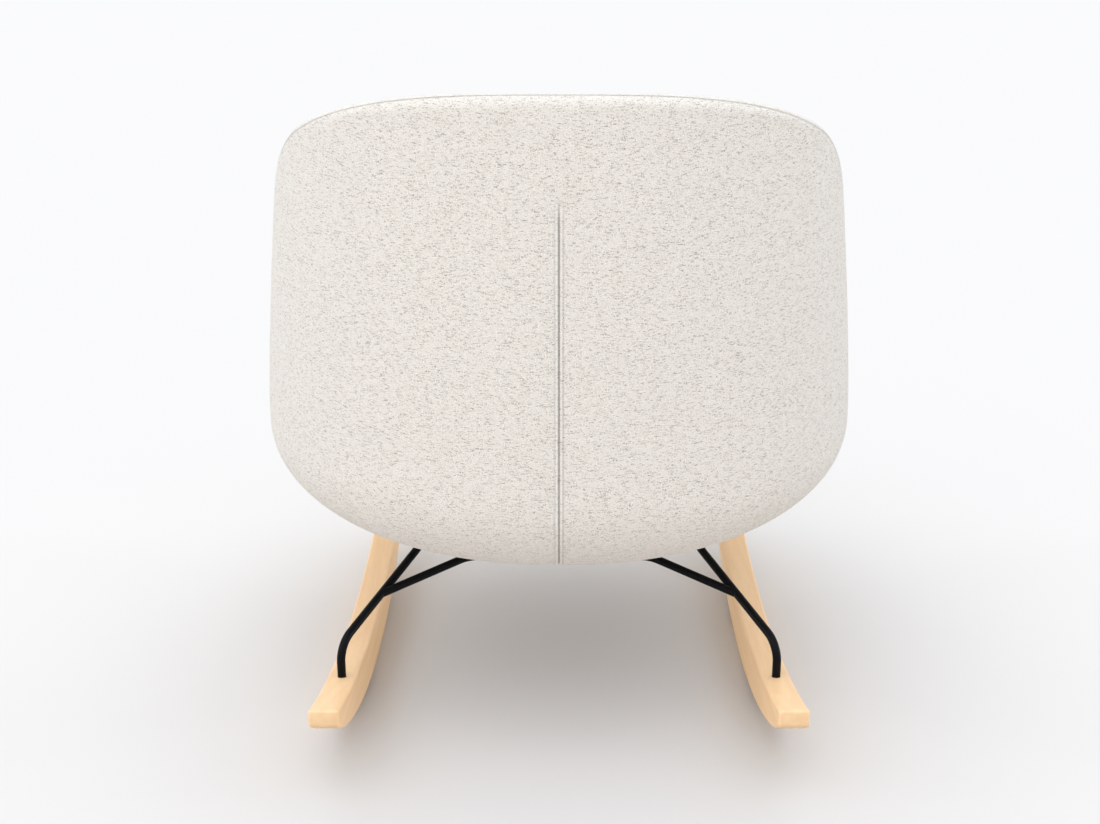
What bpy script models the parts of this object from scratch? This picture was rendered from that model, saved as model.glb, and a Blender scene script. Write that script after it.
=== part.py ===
"""Upholstered tub rocking chair: padded tub, bent steel rods, two wooden rockers.

Metres, +Z up, front towards -Y. The origin is on the floor, midway along the rockers.
"""
import math

import bmesh
import bpy
import numpy as np
from mathutils import Matrix, Vector
from mathutils.bvhtree import BVHTree

for old in list(bpy.data.objects):
    bpy.data.objects.remove(old, do_unlink=True)

# Fit between pieces that touch
CLEARANCE = 0.0003

# Outside of the tub, in its own frame: leaned back about its lowest point
TUB_HALF_WIDTH = 0.386
TUB_REAR_DEPTH = 0.348
TUB_FRONT_DEPTH = 0.345
TUB_CENTRE_Y = -0.044
TUB_BASE_Z = 0.190
TUB_LEAN = math.radians(4.8)
PLAN_ROUNDNESS_REAR = 2.16
PLAN_ROUNDNESS_FRONT = 2.8
BOWL_HEIGHT = 0.169
BOWL_ROUNDNESS = 2.11
WALL_TAPER = 0.123
WALL_TAPER_POWER = 1.285
WALL_TAPER_HEIGHT = 0.451

# Height of the rim: level round the back, falling along the arms to the front lip
BACK_HEIGHT = 0.633
BACK_CROWN = 0.149
BACK_CROWN_POWER = 1.37
ARM_START = math.radians(59.6)
ARM_END = math.radians(159)
FRONT_HEIGHT = 0.165

# Layers, from the outside in
COVER_THICKNESS = 0.002
WADDING_THICKNESS = 0.006
SHELL_THICKNESS = 0.005
WALL_THICKNESS = 0.040
RIM_ROUND = 0.014
RIM_FOAM_HEIGHT = 0.010
SEAM_ANGLE = math.radians(50)
SEAT_EDGE_HEIGHT = 0.135
SEAT_CROWN = 0.030
SEAT_CROWN_POWER = 3.0
SEAT_FOAM_BEVEL = 0.016
BACK_FOAM_ANGLE = math.radians(60)
FRONT_FOAM_ANGLE = math.radians(140)

# Rockers
ROCKER_WIDTH = 0.036
ROCKER_SPACING = 0.540
ROCKER_LENGTH = 0.768
ROCKER_RADIUS = 0.850
ROCKER_TOP_RADIUS = 1.380
ROCKER_MID_HEIGHT = 0.058
ROCKER_LEAST_HEIGHT = 0.024
ROCKER_BLEND = 0.003
ROCKER_EDGE = 0.005
REST_LENGTH = 0.060
REST_Y = 0.012

# Steel rods
ROD_DIAMETER = 0.010
ROD_BEND = 0.032
FOOT_REAR_Y = 0.2445
FOOT_FRONT_Y = -0.250
FOOT_RISE = 0.044
SOCKET_DEPTH = 0.024
RUN_X = 0.187
RUN_REAR_Y = 0.072
RUN_FRONT_Y = -0.160
BRACE_X = 0.120
BRACE_REAR_Y = 0.090
BRACE_FRONT_Y = -0.150
BRACE_DROP = 0.016
BRACE_BEND = 0.045

# Seat fixings
MOUNT_X = 0.164
MOUNT_REAR_Y = 0.030
MOUNT_FRONT_Y = -0.120
TAB_LENGTH = 0.048
TAB_WIDTH = 0.030
TAB_THICKNESS = 0.004
SPACER_HEIGHT = 0.008
SPACER_DIAMETER = 0.026
SPACER_BORE = 0.009
BOLT_DIAMETER = 0.006
BOLT_HOLE = 0.0068
BOLT_HEAD = 0.012
BOLT_HEAD_HEIGHT = 0.004
TNUT_FLANGE = 0.019
TNUT_FLANGE_THICKNESS = 0.0018
TNUT_BARREL = 0.009
TNUT_BARREL_LENGTH = 0.004
TNUT_POCKET = 0.003
ROD_TAPPING = 0.016
COUNTERBORE_DEPTH = 0.010

# Mesh fineness
TUB_STEPS = 36
BOWL_ROWS = (0.30, 0.55, 0.78, 1.0)
WALL_ROWS = (0.1, 0.3, 0.53, 0.77, 1.0)
FACE_ROWS = (0.0, 0.12, 0.33, 0.56, 0.78, 1.0)
SEAT_ROWS = (0.35, 0.62, 0.84, 1.0)
ROD_SIDES = 12
BEND_STEPS = 5


def make_material(name, colour, roughness, metallic=0.0):
    material = bpy.data.materials.new(name)
    material.use_nodes = True
    shader = material.node_tree.nodes["Principled BSDF"]
    shader.inputs["Base Color"].default_value = (*colour, 1.0)
    shader.inputs["Roughness"].default_value = roughness
    shader.inputs["Metallic"].default_value = metallic
    material.diffuse_color = (*colour, 1.0)
    return material


weave = make_material("cream_weave", (0.80, 0.75, 0.68), 0.9)
padding = make_material("white_padding", (0.88, 0.86, 0.80), 0.95)
plastic = make_material("shell_plastic", (0.10, 0.10, 0.11), 0.6)
powder_coat = make_material("black_powder_coat", (0.012, 0.012, 0.014), 0.45, 0.2)
beech = make_material("pale_beech", (0.78, 0.56, 0.34), 0.5)
zinc = make_material("zinc_steel", (0.55, 0.55, 0.56), 0.35, 1.0)
rubber = make_material("black_rubber", (0.02, 0.02, 0.02), 0.85)


def add_object(name, vertices, faces, material, smooth=False):
    """One closed mesh as a named object, its faces turned outwards."""
    mesh = bpy.data.meshes.new(name)
    mesh.from_pydata([tuple(v) for v in vertices], [], [tuple(f) for f in faces])
    work = bmesh.new()
    work.from_mesh(mesh)
    bmesh.ops.recalc_face_normals(work, faces=work.faces)
    for face in work.faces:
        face.smooth = smooth
    work.to_mesh(mesh)
    work.free()
    mesh.materials.append(material)
    thing = bpy.data.objects.new(name, mesh)
    bpy.context.scene.collection.objects.link(thing)
    return thing


def cut(thing, cutter):
    cutter.hide_render = True
    cutter.display_type = "WIRE"
    boolean = thing.modifiers.new("cut_" + cutter.name, "BOOLEAN")
    boolean.operation = "DIFFERENCE"
    boolean.solver = "EXACT"
    boolean.object = cutter


# The tub. Angle 0 looks to the rear, 90 degrees to the left side, 180 to the front.

ANGLES = np.arange(TUB_STEPS) * 2 * math.pi / TUB_STEPS


def plan_direction(angle):
    """Unit outline of the tub seen from above, and its distance from the centre."""
    across, along = math.sin(angle), math.cos(angle)
    power = PLAN_ROUNDNESS_REAR if along > 0 else PLAN_ROUNDNESS_FRONT
    depth = TUB_REAR_DEPTH if along > 0 else TUB_FRONT_DEPTH
    size = (abs(across) ** power + abs(along) ** power) ** (-1 / power)
    x = across * size * TUB_HALF_WIDTH
    y = along * size * depth
    return x, y, math.hypot(x, y)


def rim_height(angle):
    turn = min(angle, 2 * math.pi - angle)
    back = BACK_HEIGHT - BACK_CROWN * (1 - math.cos(turn)) ** BACK_CROWN_POWER
    fall = min(max((turn - ARM_START) / (ARM_END - ARM_START), 0), 1)
    fall = fall * fall * (3 - 2 * fall)
    return back * (1 - fall) + FRONT_HEIGHT * fall


def bowl_turn(depth, height):
    """How far round the bowl a given height is reached, on the layer at this depth."""
    rest = 1 - (height - depth) / (BOWL_HEIGHT - depth)
    return math.acos(min(max(rest, 0), 1) ** (BOWL_ROUNDNESS / 2))


def reach(depth, height, distance):
    """Share of the outline that the layer at this depth reaches at a height."""
    inset = 1 - depth / distance
    if height >= BOWL_HEIGHT:
        rise = (height - BOWL_HEIGHT) / WALL_TAPER_HEIGHT
        return inset * (1 - WALL_TAPER * rise ** WALL_TAPER_POWER)
    return inset * math.sin(bowl_turn(depth, height)) ** (2 / BOWL_ROUNDNESS)


def to_world(x, y, height):
    return Vector((
        x,
        TUB_CENTRE_Y + y * math.cos(TUB_LEAN) + height * math.sin(TUB_LEAN),
        TUB_BASE_Z + height * math.cos(TUB_LEAN) - y * math.sin(TUB_LEAN),
    ))


def tub_point(angle, depth, height, scale=1.0):
    x, y, distance = plan_direction(angle)
    share = reach(depth, height, distance) * scale
    return to_world(x * share, y * share, height)


INTERFACE_HEIGHT = SEAT_EDGE_HEIGHT - SEAT_FOAM_BEVEL


def step_height(angle):
    """Where the shell and wadding stop below the rim."""
    return rim_height(angle) - RIM_ROUND - RIM_FOAM_HEIGHT


def bowl_row(share, depth):
    """One ring of a layer between its lowest point and the edge of the seat foam."""
    turn = share * bowl_turn(depth, INTERFACE_HEIGHT)
    height = depth + (BOWL_HEIGHT - depth) * (1 - math.cos(turn) ** (2 / BOWL_ROUNDNESS))
    return [tub_point(a, depth, height) for a in ANGLES]


def wall_row(share, depth):
    """One ring of a layer between the seat foam and the top of the shell."""
    return [
        tub_point(a, depth, INTERFACE_HEIGHT + share * (step_height(a) - INTERFACE_HEIGHT))
        for a in ANGLES
    ]


def rim_row(turn, skin):
    """One ring round the rolled rim, a skin depth below its surface; turn 0 is outside."""
    half = WALL_THICKNESS / 2
    row = []
    for a in ANGLES:
        depth = half - (half - skin) * math.cos(turn)
        height = rim_height(a) - RIM_ROUND + (RIM_ROUND - skin) * math.sin(turn)
        row.append(tub_point(a, depth, height))
    return row


def face_row(share, depth, bottom):
    """One ring of the inside face, between the seat crease and the rolled rim."""
    row = []
    for a in ANGLES:
        height = bottom + share * (rim_height(a) - RIM_ROUND - bottom)
        row.append(tub_point(a, depth, height))
    return row


SEAT_REACH_DEPTH = WALL_THICKNESS - COVER_THICKNESS


def seat_row(share, drop):
    """One ring of the seat's crowned top, a drop below the cover's surface."""
    height = SEAT_EDGE_HEIGHT + SEAT_CROWN * (1 - share ** SEAT_CROWN_POWER) - drop
    row = []
    for a in ANGLES:
        x, y, distance = plan_direction(a)
        edge = reach(SEAT_REACH_DEPTH, SEAT_EDGE_HEIGHT, distance) * share
        row.append(to_world(x * edge, y * edge, height))
    return row


def ring_faces(out_rows, back_rows, closed, offset=0):
    """Triangles between neighbouring rings, out and back.

    Diagonals are mirrored left to right and run the same way out and back, so that the
    facets of two layers lie parallel.
    """
    rows = out_rows + back_rows
    faces = []
    pairs = [(i, i + 1) for i in range(rows - 1)]
    if closed:
        pairs.append((rows - 1, 0))
    for low, high in pairs:
        going_back = low >= out_rows
        for j in range(TUB_STEPS):
            k = (j + 1) % TUB_STEPS
            a, b = offset + low * TUB_STEPS + j, offset + low * TUB_STEPS + k
            c, d = offset + high * TUB_STEPS + k, offset + high * TUB_STEPS + j
            if (j < TUB_STEPS // 2) != going_back:
                faces += [(a, b, c), (a, c, d)]
            else:
                faces += [(a, b, d), (b, c, d)]
    return faces


def cup(name, out_rows, back_rows, first_pole, last_pole, material):
    """A dished sheet: rings from one pole out to its edge and back to the other pole."""
    rows = out_rows + back_rows[::-1]
    vertices = [first_pole]
    for row in rows:
        vertices += row
    vertices.append(last_pole)
    last_ring = 1 + (len(rows) - 1) * TUB_STEPS
    faces = ring_faces(len(out_rows), len(back_rows), False, 1)
    for j in range(TUB_STEPS):
        k = (j + 1) % TUB_STEPS
        faces.append((0, 1 + j, 1 + k))
        faces.append((len(vertices) - 1, last_ring + k, last_ring + j))
    return add_object(name, vertices, faces, material, True)


def hoop(name, out_rows, back_rows, material):
    """A band round the tub whose section closes on itself."""
    vertices = []
    for row in out_rows + back_rows[::-1]:
        vertices += row
    faces = ring_faces(len(out_rows), len(back_rows), True)
    return add_object(name, vertices, faces, material, True)


def column(angle):
    """Number of the tub step nearest to an angle."""
    return round(angle * TUB_STEPS / (2 * math.pi))


def part_hoop(name, rows, first, last, material):
    """The piece of a band between two cuts, each end drawn back half a clearance from its cut."""
    count = len(rows)
    vertices = []
    faces = [tuple(range(count)), tuple(range((last - first) * count, (last - first + 1) * count))]
    for i, j in enumerate(range(first, last + 1)):
        section = [row[j % TUB_STEPS] for row in rows]
        if j in (first, last):
            beside = (j + 1 if j == first else j - 1) % TUB_STEPS
            ahead = [(row[beside] - p).normalized() for row, p in zip(rows, section)]
            section = [p + way * CLEARANCE / 2 for p, way in zip(section, ahead)]
        vertices += section
        if j == last:
            break
        for low in range(count):
            high = (low + 1) % count
            a, b = i * count + low, (i + 1) * count + low
            d, c = i * count + high, (i + 1) * count + high
            if j % TUB_STEPS < TUB_STEPS // 2:
                faces += [(a, b, c), (a, c, d)]
            else:
                faces += [(a, b, d), (b, c, d)]
    return add_object(name, vertices, faces, material, True)


def layer_rows(depth):
    return [bowl_row(s, depth) for s in BOWL_ROWS] + [wall_row(s, depth) for s in WALL_ROWS]


def pole(depth):
    return to_world(0, 0, depth)


SEAM_TURNS = np.linspace(0, SEAM_ANGLE, 3)
SEAM_GAP = 2 * CLEARANCE / RIM_ROUND
ROLL_TURNS = np.linspace(SEAM_ANGLE + SEAM_GAP, math.pi, 6)

outer = layer_rows(0.0) + [rim_row(t, 0.0) for t in SEAM_TURNS]
inner = layer_rows(COVER_THICKNESS) + [rim_row(t, COVER_THICKNESS) for t in SEAM_TURNS]
back_cover = cup("back_cover", outer, inner, pole(0.0), pole(COVER_THICKNESS), weave)

WADDING_DEPTH = COVER_THICKNESS + CLEARANCE
SHELL_DEPTH = WADDING_DEPTH + WADDING_THICKNESS + CLEARANCE
FOAM_DEPTH = SHELL_DEPTH + SHELL_THICKNESS + CLEARANCE


def sheet(name, depth, thickness, material):
    far = depth + thickness
    return cup(name, layer_rows(depth), layer_rows(far), pole(depth), pole(far), material)


back_wadding = sheet("back_wadding", WADDING_DEPTH, WADDING_THICKNESS, padding)
moulded_shell = sheet("moulded_shell", SHELL_DEPTH, SHELL_THICKNESS, plastic)

# Foam lining of the walls, rolled over the top of the shell: back, two arms and front edge
CREASE_BOTTOM = SEAT_EDGE_HEIGHT + COVER_THICKNESS / 2 + CLEARANCE
FOAM_FACE = WALL_THICKNESS - COVER_THICKNESS - CLEARANCE
rows = [wall_row(s, FOAM_DEPTH) for s in (0.0,) + WALL_ROWS]
rows[-1] = [tub_point(a, FOAM_DEPTH, step_height(a) + CLEARANCE) for a in ANGLES]
rows.append([tub_point(a, WADDING_DEPTH, step_height(a) + CLEARANCE) for a in ANGLES])
rows += [rim_row(t, WADDING_DEPTH) for t in SEAM_TURNS]
rows += [rim_row(t, WADDING_DEPTH) for t in ROLL_TURNS]
rows += [face_row(s, FOAM_FACE, CREASE_BOTTOM) for s in FACE_ROWS[-2::-1]]
back_cut, front_cut = column(BACK_FOAM_ANGLE), column(FRONT_FOAM_ANGLE)
part_hoop("back_foam", rows, -back_cut, back_cut, padding)
part_hoop("left_arm_foam", rows, back_cut, front_cut, padding)
part_hoop("front_edge_foam", rows, front_cut, TUB_STEPS - front_cut, padding)
part_hoop("right_arm_foam", rows, TUB_STEPS - front_cut, TUB_STEPS - back_cut, padding)

# Cover of the walls, from the seam behind the rim to the crease round the seat
outside = [rim_row(t, 0.0) for t in ROLL_TURNS]
outside += [face_row(s, WALL_THICKNESS, CREASE_BOTTOM) for s in FACE_ROWS[-2::-1]]
inside = [rim_row(t, COVER_THICKNESS) for t in ROLL_TURNS]
inside += [face_row(s, SEAT_REACH_DEPTH, CREASE_BOTTOM) for s in FACE_ROWS[-2::-1]]
inside_cover = hoop("inside_cover", outside, inside, weave)

# Seat foam and its cover
crown_height = SEAT_EDGE_HEIGHT + SEAT_CROWN
foam_drop = COVER_THICKNESS + CLEARANCE
tops = [seat_row(s, 0.0) for s in SEAT_ROWS]
unders = [seat_row(s, COVER_THICKNESS) for s in SEAT_ROWS]
seat_cover = cup(
    "seat_cover",
    tops,
    unders,
    to_world(0, 0, crown_height),
    to_world(0, 0, crown_height - COVER_THICKNESS),
    weave,
)
rows = [bowl_row(s, FOAM_DEPTH) for s in BOWL_ROWS[:-1]]
rows.append([tub_point(a, FOAM_DEPTH, INTERFACE_HEIGHT - 2 * CLEARANCE) for a in ANGLES])
tops = [seat_row(s, foam_drop) for s in SEAT_ROWS]
seat_foam = cup(
    "seat_foam", rows, tops, pole(FOAM_DEPTH), to_world(0, 0, crown_height - foam_drop), padding
)

# Rockers


def rocker_bottom(y):
    drop = math.sqrt(ROCKER_RADIUS ** 2 - (REST_LENGTH / 2) ** 2)
    return max(0.0, drop - math.sqrt(ROCKER_RADIUS ** 2 - (y - REST_Y) ** 2))


def rocker_top(y):
    """A flatter arc than the underside, eased so that the noses keep their least height."""
    arc = ROCKER_MID_HEIGHT + ROCKER_TOP_RADIUS - math.sqrt(ROCKER_TOP_RADIUS ** 2 - y * y)
    least = rocker_bottom(y) + ROCKER_LEAST_HEIGHT
    return (arc + least + math.hypot(arc - least, ROCKER_BLEND)) / 2


def rounded_section(x, y, low, high, width, edge):
    """Rounded upright rectangle across a rocker."""
    section = []
    corners = ((1, 1, 0), (-1, 1, 90), (-1, -1, 180), (1, -1, 270))
    for right, up, start in corners:
        cx = x + right * (width / 2 - edge)
        cz = high - edge if up > 0 else low + edge
        for step in range(3):
            a = math.radians(start + 45 * step)
            section.append((cx + edge * math.cos(a), y, cz + edge * math.sin(a)))
    return section


def make_rocker(name, x):
    half = ROCKER_LENGTH / 2
    rest = REST_LENGTH / 2
    stations = list(np.linspace(ROCKER_EDGE - half, REST_Y - rest, 9))
    stations += list(np.linspace(REST_Y + rest, half - ROCKER_EDGE, 9))
    sections = []
    for y in stations:
        low, high = rocker_bottom(y), rocker_top(y)
        sections.append(rounded_section(x, y, low, high, ROCKER_WIDTH, ROCKER_EDGE))
    slant = ROCKER_EDGE * 0.6
    ends = []
    for y in (-half, half):
        low, high = rocker_bottom(y) + slant, rocker_top(y) - slant
        ends.append(rounded_section(x, y, low, high, ROCKER_WIDTH - 2 * slant, ROCKER_EDGE - slant))
    sections = [ends[0]] + sections + [ends[1]]
    count = len(sections[0])
    vertices = [p for s in sections for p in s]
    faces = [tuple(range(count)), tuple(range(len(vertices) - count, len(vertices)))]
    for i in range(len(sections) - 1):
        for j in range(count):
            k = (j + 1) % count
            a, b = i * count + j, i * count + k
            faces += [(a, b, b + count), (a, b + count, a + count)]
    return add_object(name, vertices, faces, beech, False)


def turned(name, profile, base, axis, material, sides=12, bored=False):
    """Round piece from (radius, height) pairs along an axis; bored ones close on themselves."""
    axis = axis.normalized()
    turn = Vector((0, 0, 1)).rotation_difference(axis).to_matrix().to_4x4()
    place = Matrix.Translation(base) @ turn
    vertices = []
    for radius, height in profile:
        for j in range(sides):
            a = 2 * math.pi * (j + 0.5) / sides
            vertices.append(place @ Vector((radius * math.cos(a), radius * math.sin(a), height)))
    faces = []
    rows = len(profile)
    for i in range(rows if bored else rows - 1):
        n = (i + 1) % rows
        for j in range(sides):
            k = (j + 1) % sides
            faces.append((i * sides + j, i * sides + k, n * sides + k, n * sides + j))
    if not bored:
        faces.append(tuple(range(sides)))
        faces.append(tuple(range((rows - 1) * sides, rows * sides)))
    return add_object(name, vertices, faces, material, False)


def drill(name, diameter, start, end, sides=12):
    length = (end - start).length
    radius = diameter / 2
    return turned(name, [(radius, 0), (radius, length)], start, end - start, zinc, sides)


# Rods


def bent_path(corners, radius):
    path = [corners[0]]
    for before, corner, after in zip(corners, corners[1:], corners[2:]):
        back = (before - corner).normalized()
        ahead = (after - corner).normalized()
        opening = back.angle(ahead)
        reach_out = radius / math.tan(opening / 2)
        middle = (back + ahead).normalized()
        centre = corner + middle * (radius / math.sin(opening / 2))
        start = corner + back * reach_out - centre
        finish = corner + ahead * reach_out - centre
        swing = start.rotation_difference(finish)
        steps = max(2, round(BEND_STEPS * (math.pi - opening) / (math.pi / 2)))
        for step in range(steps + 1):
            part = swing.copy()
            part.angle = swing.angle * step / steps
            path.append(centre + part @ start)
    path.append(corners[-1])
    return path


def make_rod(name, corners, radius, bend, material):
    path = bent_path(corners, bend)
    directions = []
    for i in range(len(path)):
        low, high = max(i - 1, 0), min(i + 1, len(path) - 1)
        directions.append((path[high] - path[low]).normalized())
    side = directions[0].orthogonal().normalized()
    vertices = []
    for i, (point, direction) in enumerate(zip(path, directions)):
        if i:
            side = directions[i - 1].rotation_difference(direction) @ side
        up = direction.cross(side)
        for j in range(ROD_SIDES):
            a = 2 * math.pi * j / ROD_SIDES
            vertices.append(point + radius * (side * math.cos(a) + up * math.sin(a)))
    faces = [tuple(range(ROD_SIDES)), tuple(range(len(vertices) - ROD_SIDES, len(vertices)))]
    for i in range(len(path) - 1):
        for j in range(ROD_SIDES):
            k = (j + 1) % ROD_SIDES
            a, b = i * ROD_SIDES + j, i * ROD_SIDES + k
            faces.append((a, b, b + ROD_SIDES, a + ROD_SIDES))
    return add_object(name, vertices, faces, material, True)


def underside(x, y):
    """Height of the tub's underside over a point on the floor."""
    z = TUB_BASE_Z
    for _ in range(12):
        along = (y - TUB_CENTRE_Y) * math.cos(TUB_LEAN) - (z - TUB_BASE_Z) * math.sin(TUB_LEAN)
        power = PLAN_ROUNDNESS_REAR if along > 0 else PLAN_ROUNDNESS_FRONT
        depth = TUB_REAR_DEPTH if along > 0 else TUB_FRONT_DEPTH
        share = abs(x / TUB_HALF_WIDTH) ** power + abs(along / depth) ** power
        lift = math.sin(math.acos(share ** (BOWL_ROUNDNESS / 2 / power))) ** (2 / BOWL_ROUNDNESS)
        z = to_world(x, along, BOWL_HEIGHT * (1 - lift)).z
    return z


ROD_RADIUS = ROD_DIAMETER / 2
RUN_DROP = SPACER_HEIGHT + TAB_THICKNESS + ROD_RADIUS + 3 * CLEARANCE
run_rear_z = underside(MOUNT_X, MOUNT_REAR_Y) - RUN_DROP
run_front_z = underside(MOUNT_X, MOUNT_FRONT_Y) - RUN_DROP
RUN_SLOPE = (run_front_z - run_rear_z) / (MOUNT_FRONT_Y - MOUNT_REAR_Y)


def run_point(y, side):
    return Vector((side * RUN_X, y, run_rear_z + RUN_SLOPE * (y - MOUNT_REAR_Y)))


def foot_points(y, side):
    x = side * ROCKER_SPACING / 2
    top = rocker_top(y)
    return Vector((x, y, top - SOCKET_DEPTH + CLEARANCE)), Vector((x, y, top + FOOT_RISE))


def side_corners(side):
    rear_end, rear_bend = foot_points(FOOT_REAR_Y, side)
    front_end, front_bend = foot_points(FOOT_FRONT_Y, side)
    rear_run = run_point(RUN_REAR_Y, side)
    front_run = run_point(RUN_FRONT_Y, side)
    return [rear_end, rear_bend, rear_run, front_run, front_bend, front_end]


def brace_corners(y, leg_low, leg_high):
    """From the middle of one leg, under the tub, to the middle of the other leg."""
    ends, bends = [], []
    for side in (1, -1):
        corners = side_corners(side)
        ends.append((corners[leg_low] + corners[leg_high]) / 2)
        bends.append(Vector((side * BRACE_X, y, underside(0, y) - BRACE_DROP)))
    return [ends[0], bends[0], bends[1], ends[1]]


# Everything below comes in left and right

SIDES = (("left", 1), ("right", -1))
FEET = (("rear", FOOT_REAR_Y), ("front", FOOT_FRONT_Y))
MOUNTS = (("rear", MOUNT_REAR_Y), ("front", MOUNT_FRONT_Y))

rear_brace = make_rod("rear_brace", brace_corners(BRACE_REAR_Y, 1, 2), ROD_RADIUS, BRACE_BEND, powder_coat)
front_brace = make_rod("front_brace", brace_corners(BRACE_FRONT_Y, 4, 3), ROD_RADIUS, BRACE_BEND, powder_coat)

tub_envelope = cup(
    "tub_envelope",
    layer_rows(-CLEARANCE),
    [],
    pole(-CLEARANCE),
    to_world(0, 0, BACK_HEIGHT),
    weave,
)
shell_rows = layer_rows(SHELL_DEPTH + SHELL_THICKNESS)
shell_face = [pole(SHELL_DEPTH + SHELL_THICKNESS)] + [p for row in shell_rows for p in row]
shell_tris = ring_faces(len(shell_rows), 0, False, 1)
shell_tris += [(0, 1 + j, 1 + (j + 1) % TUB_STEPS) for j in range(TUB_STEPS)]
shell_inside = BVHTree.FromPolygons(shell_face, shell_tris)

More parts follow.
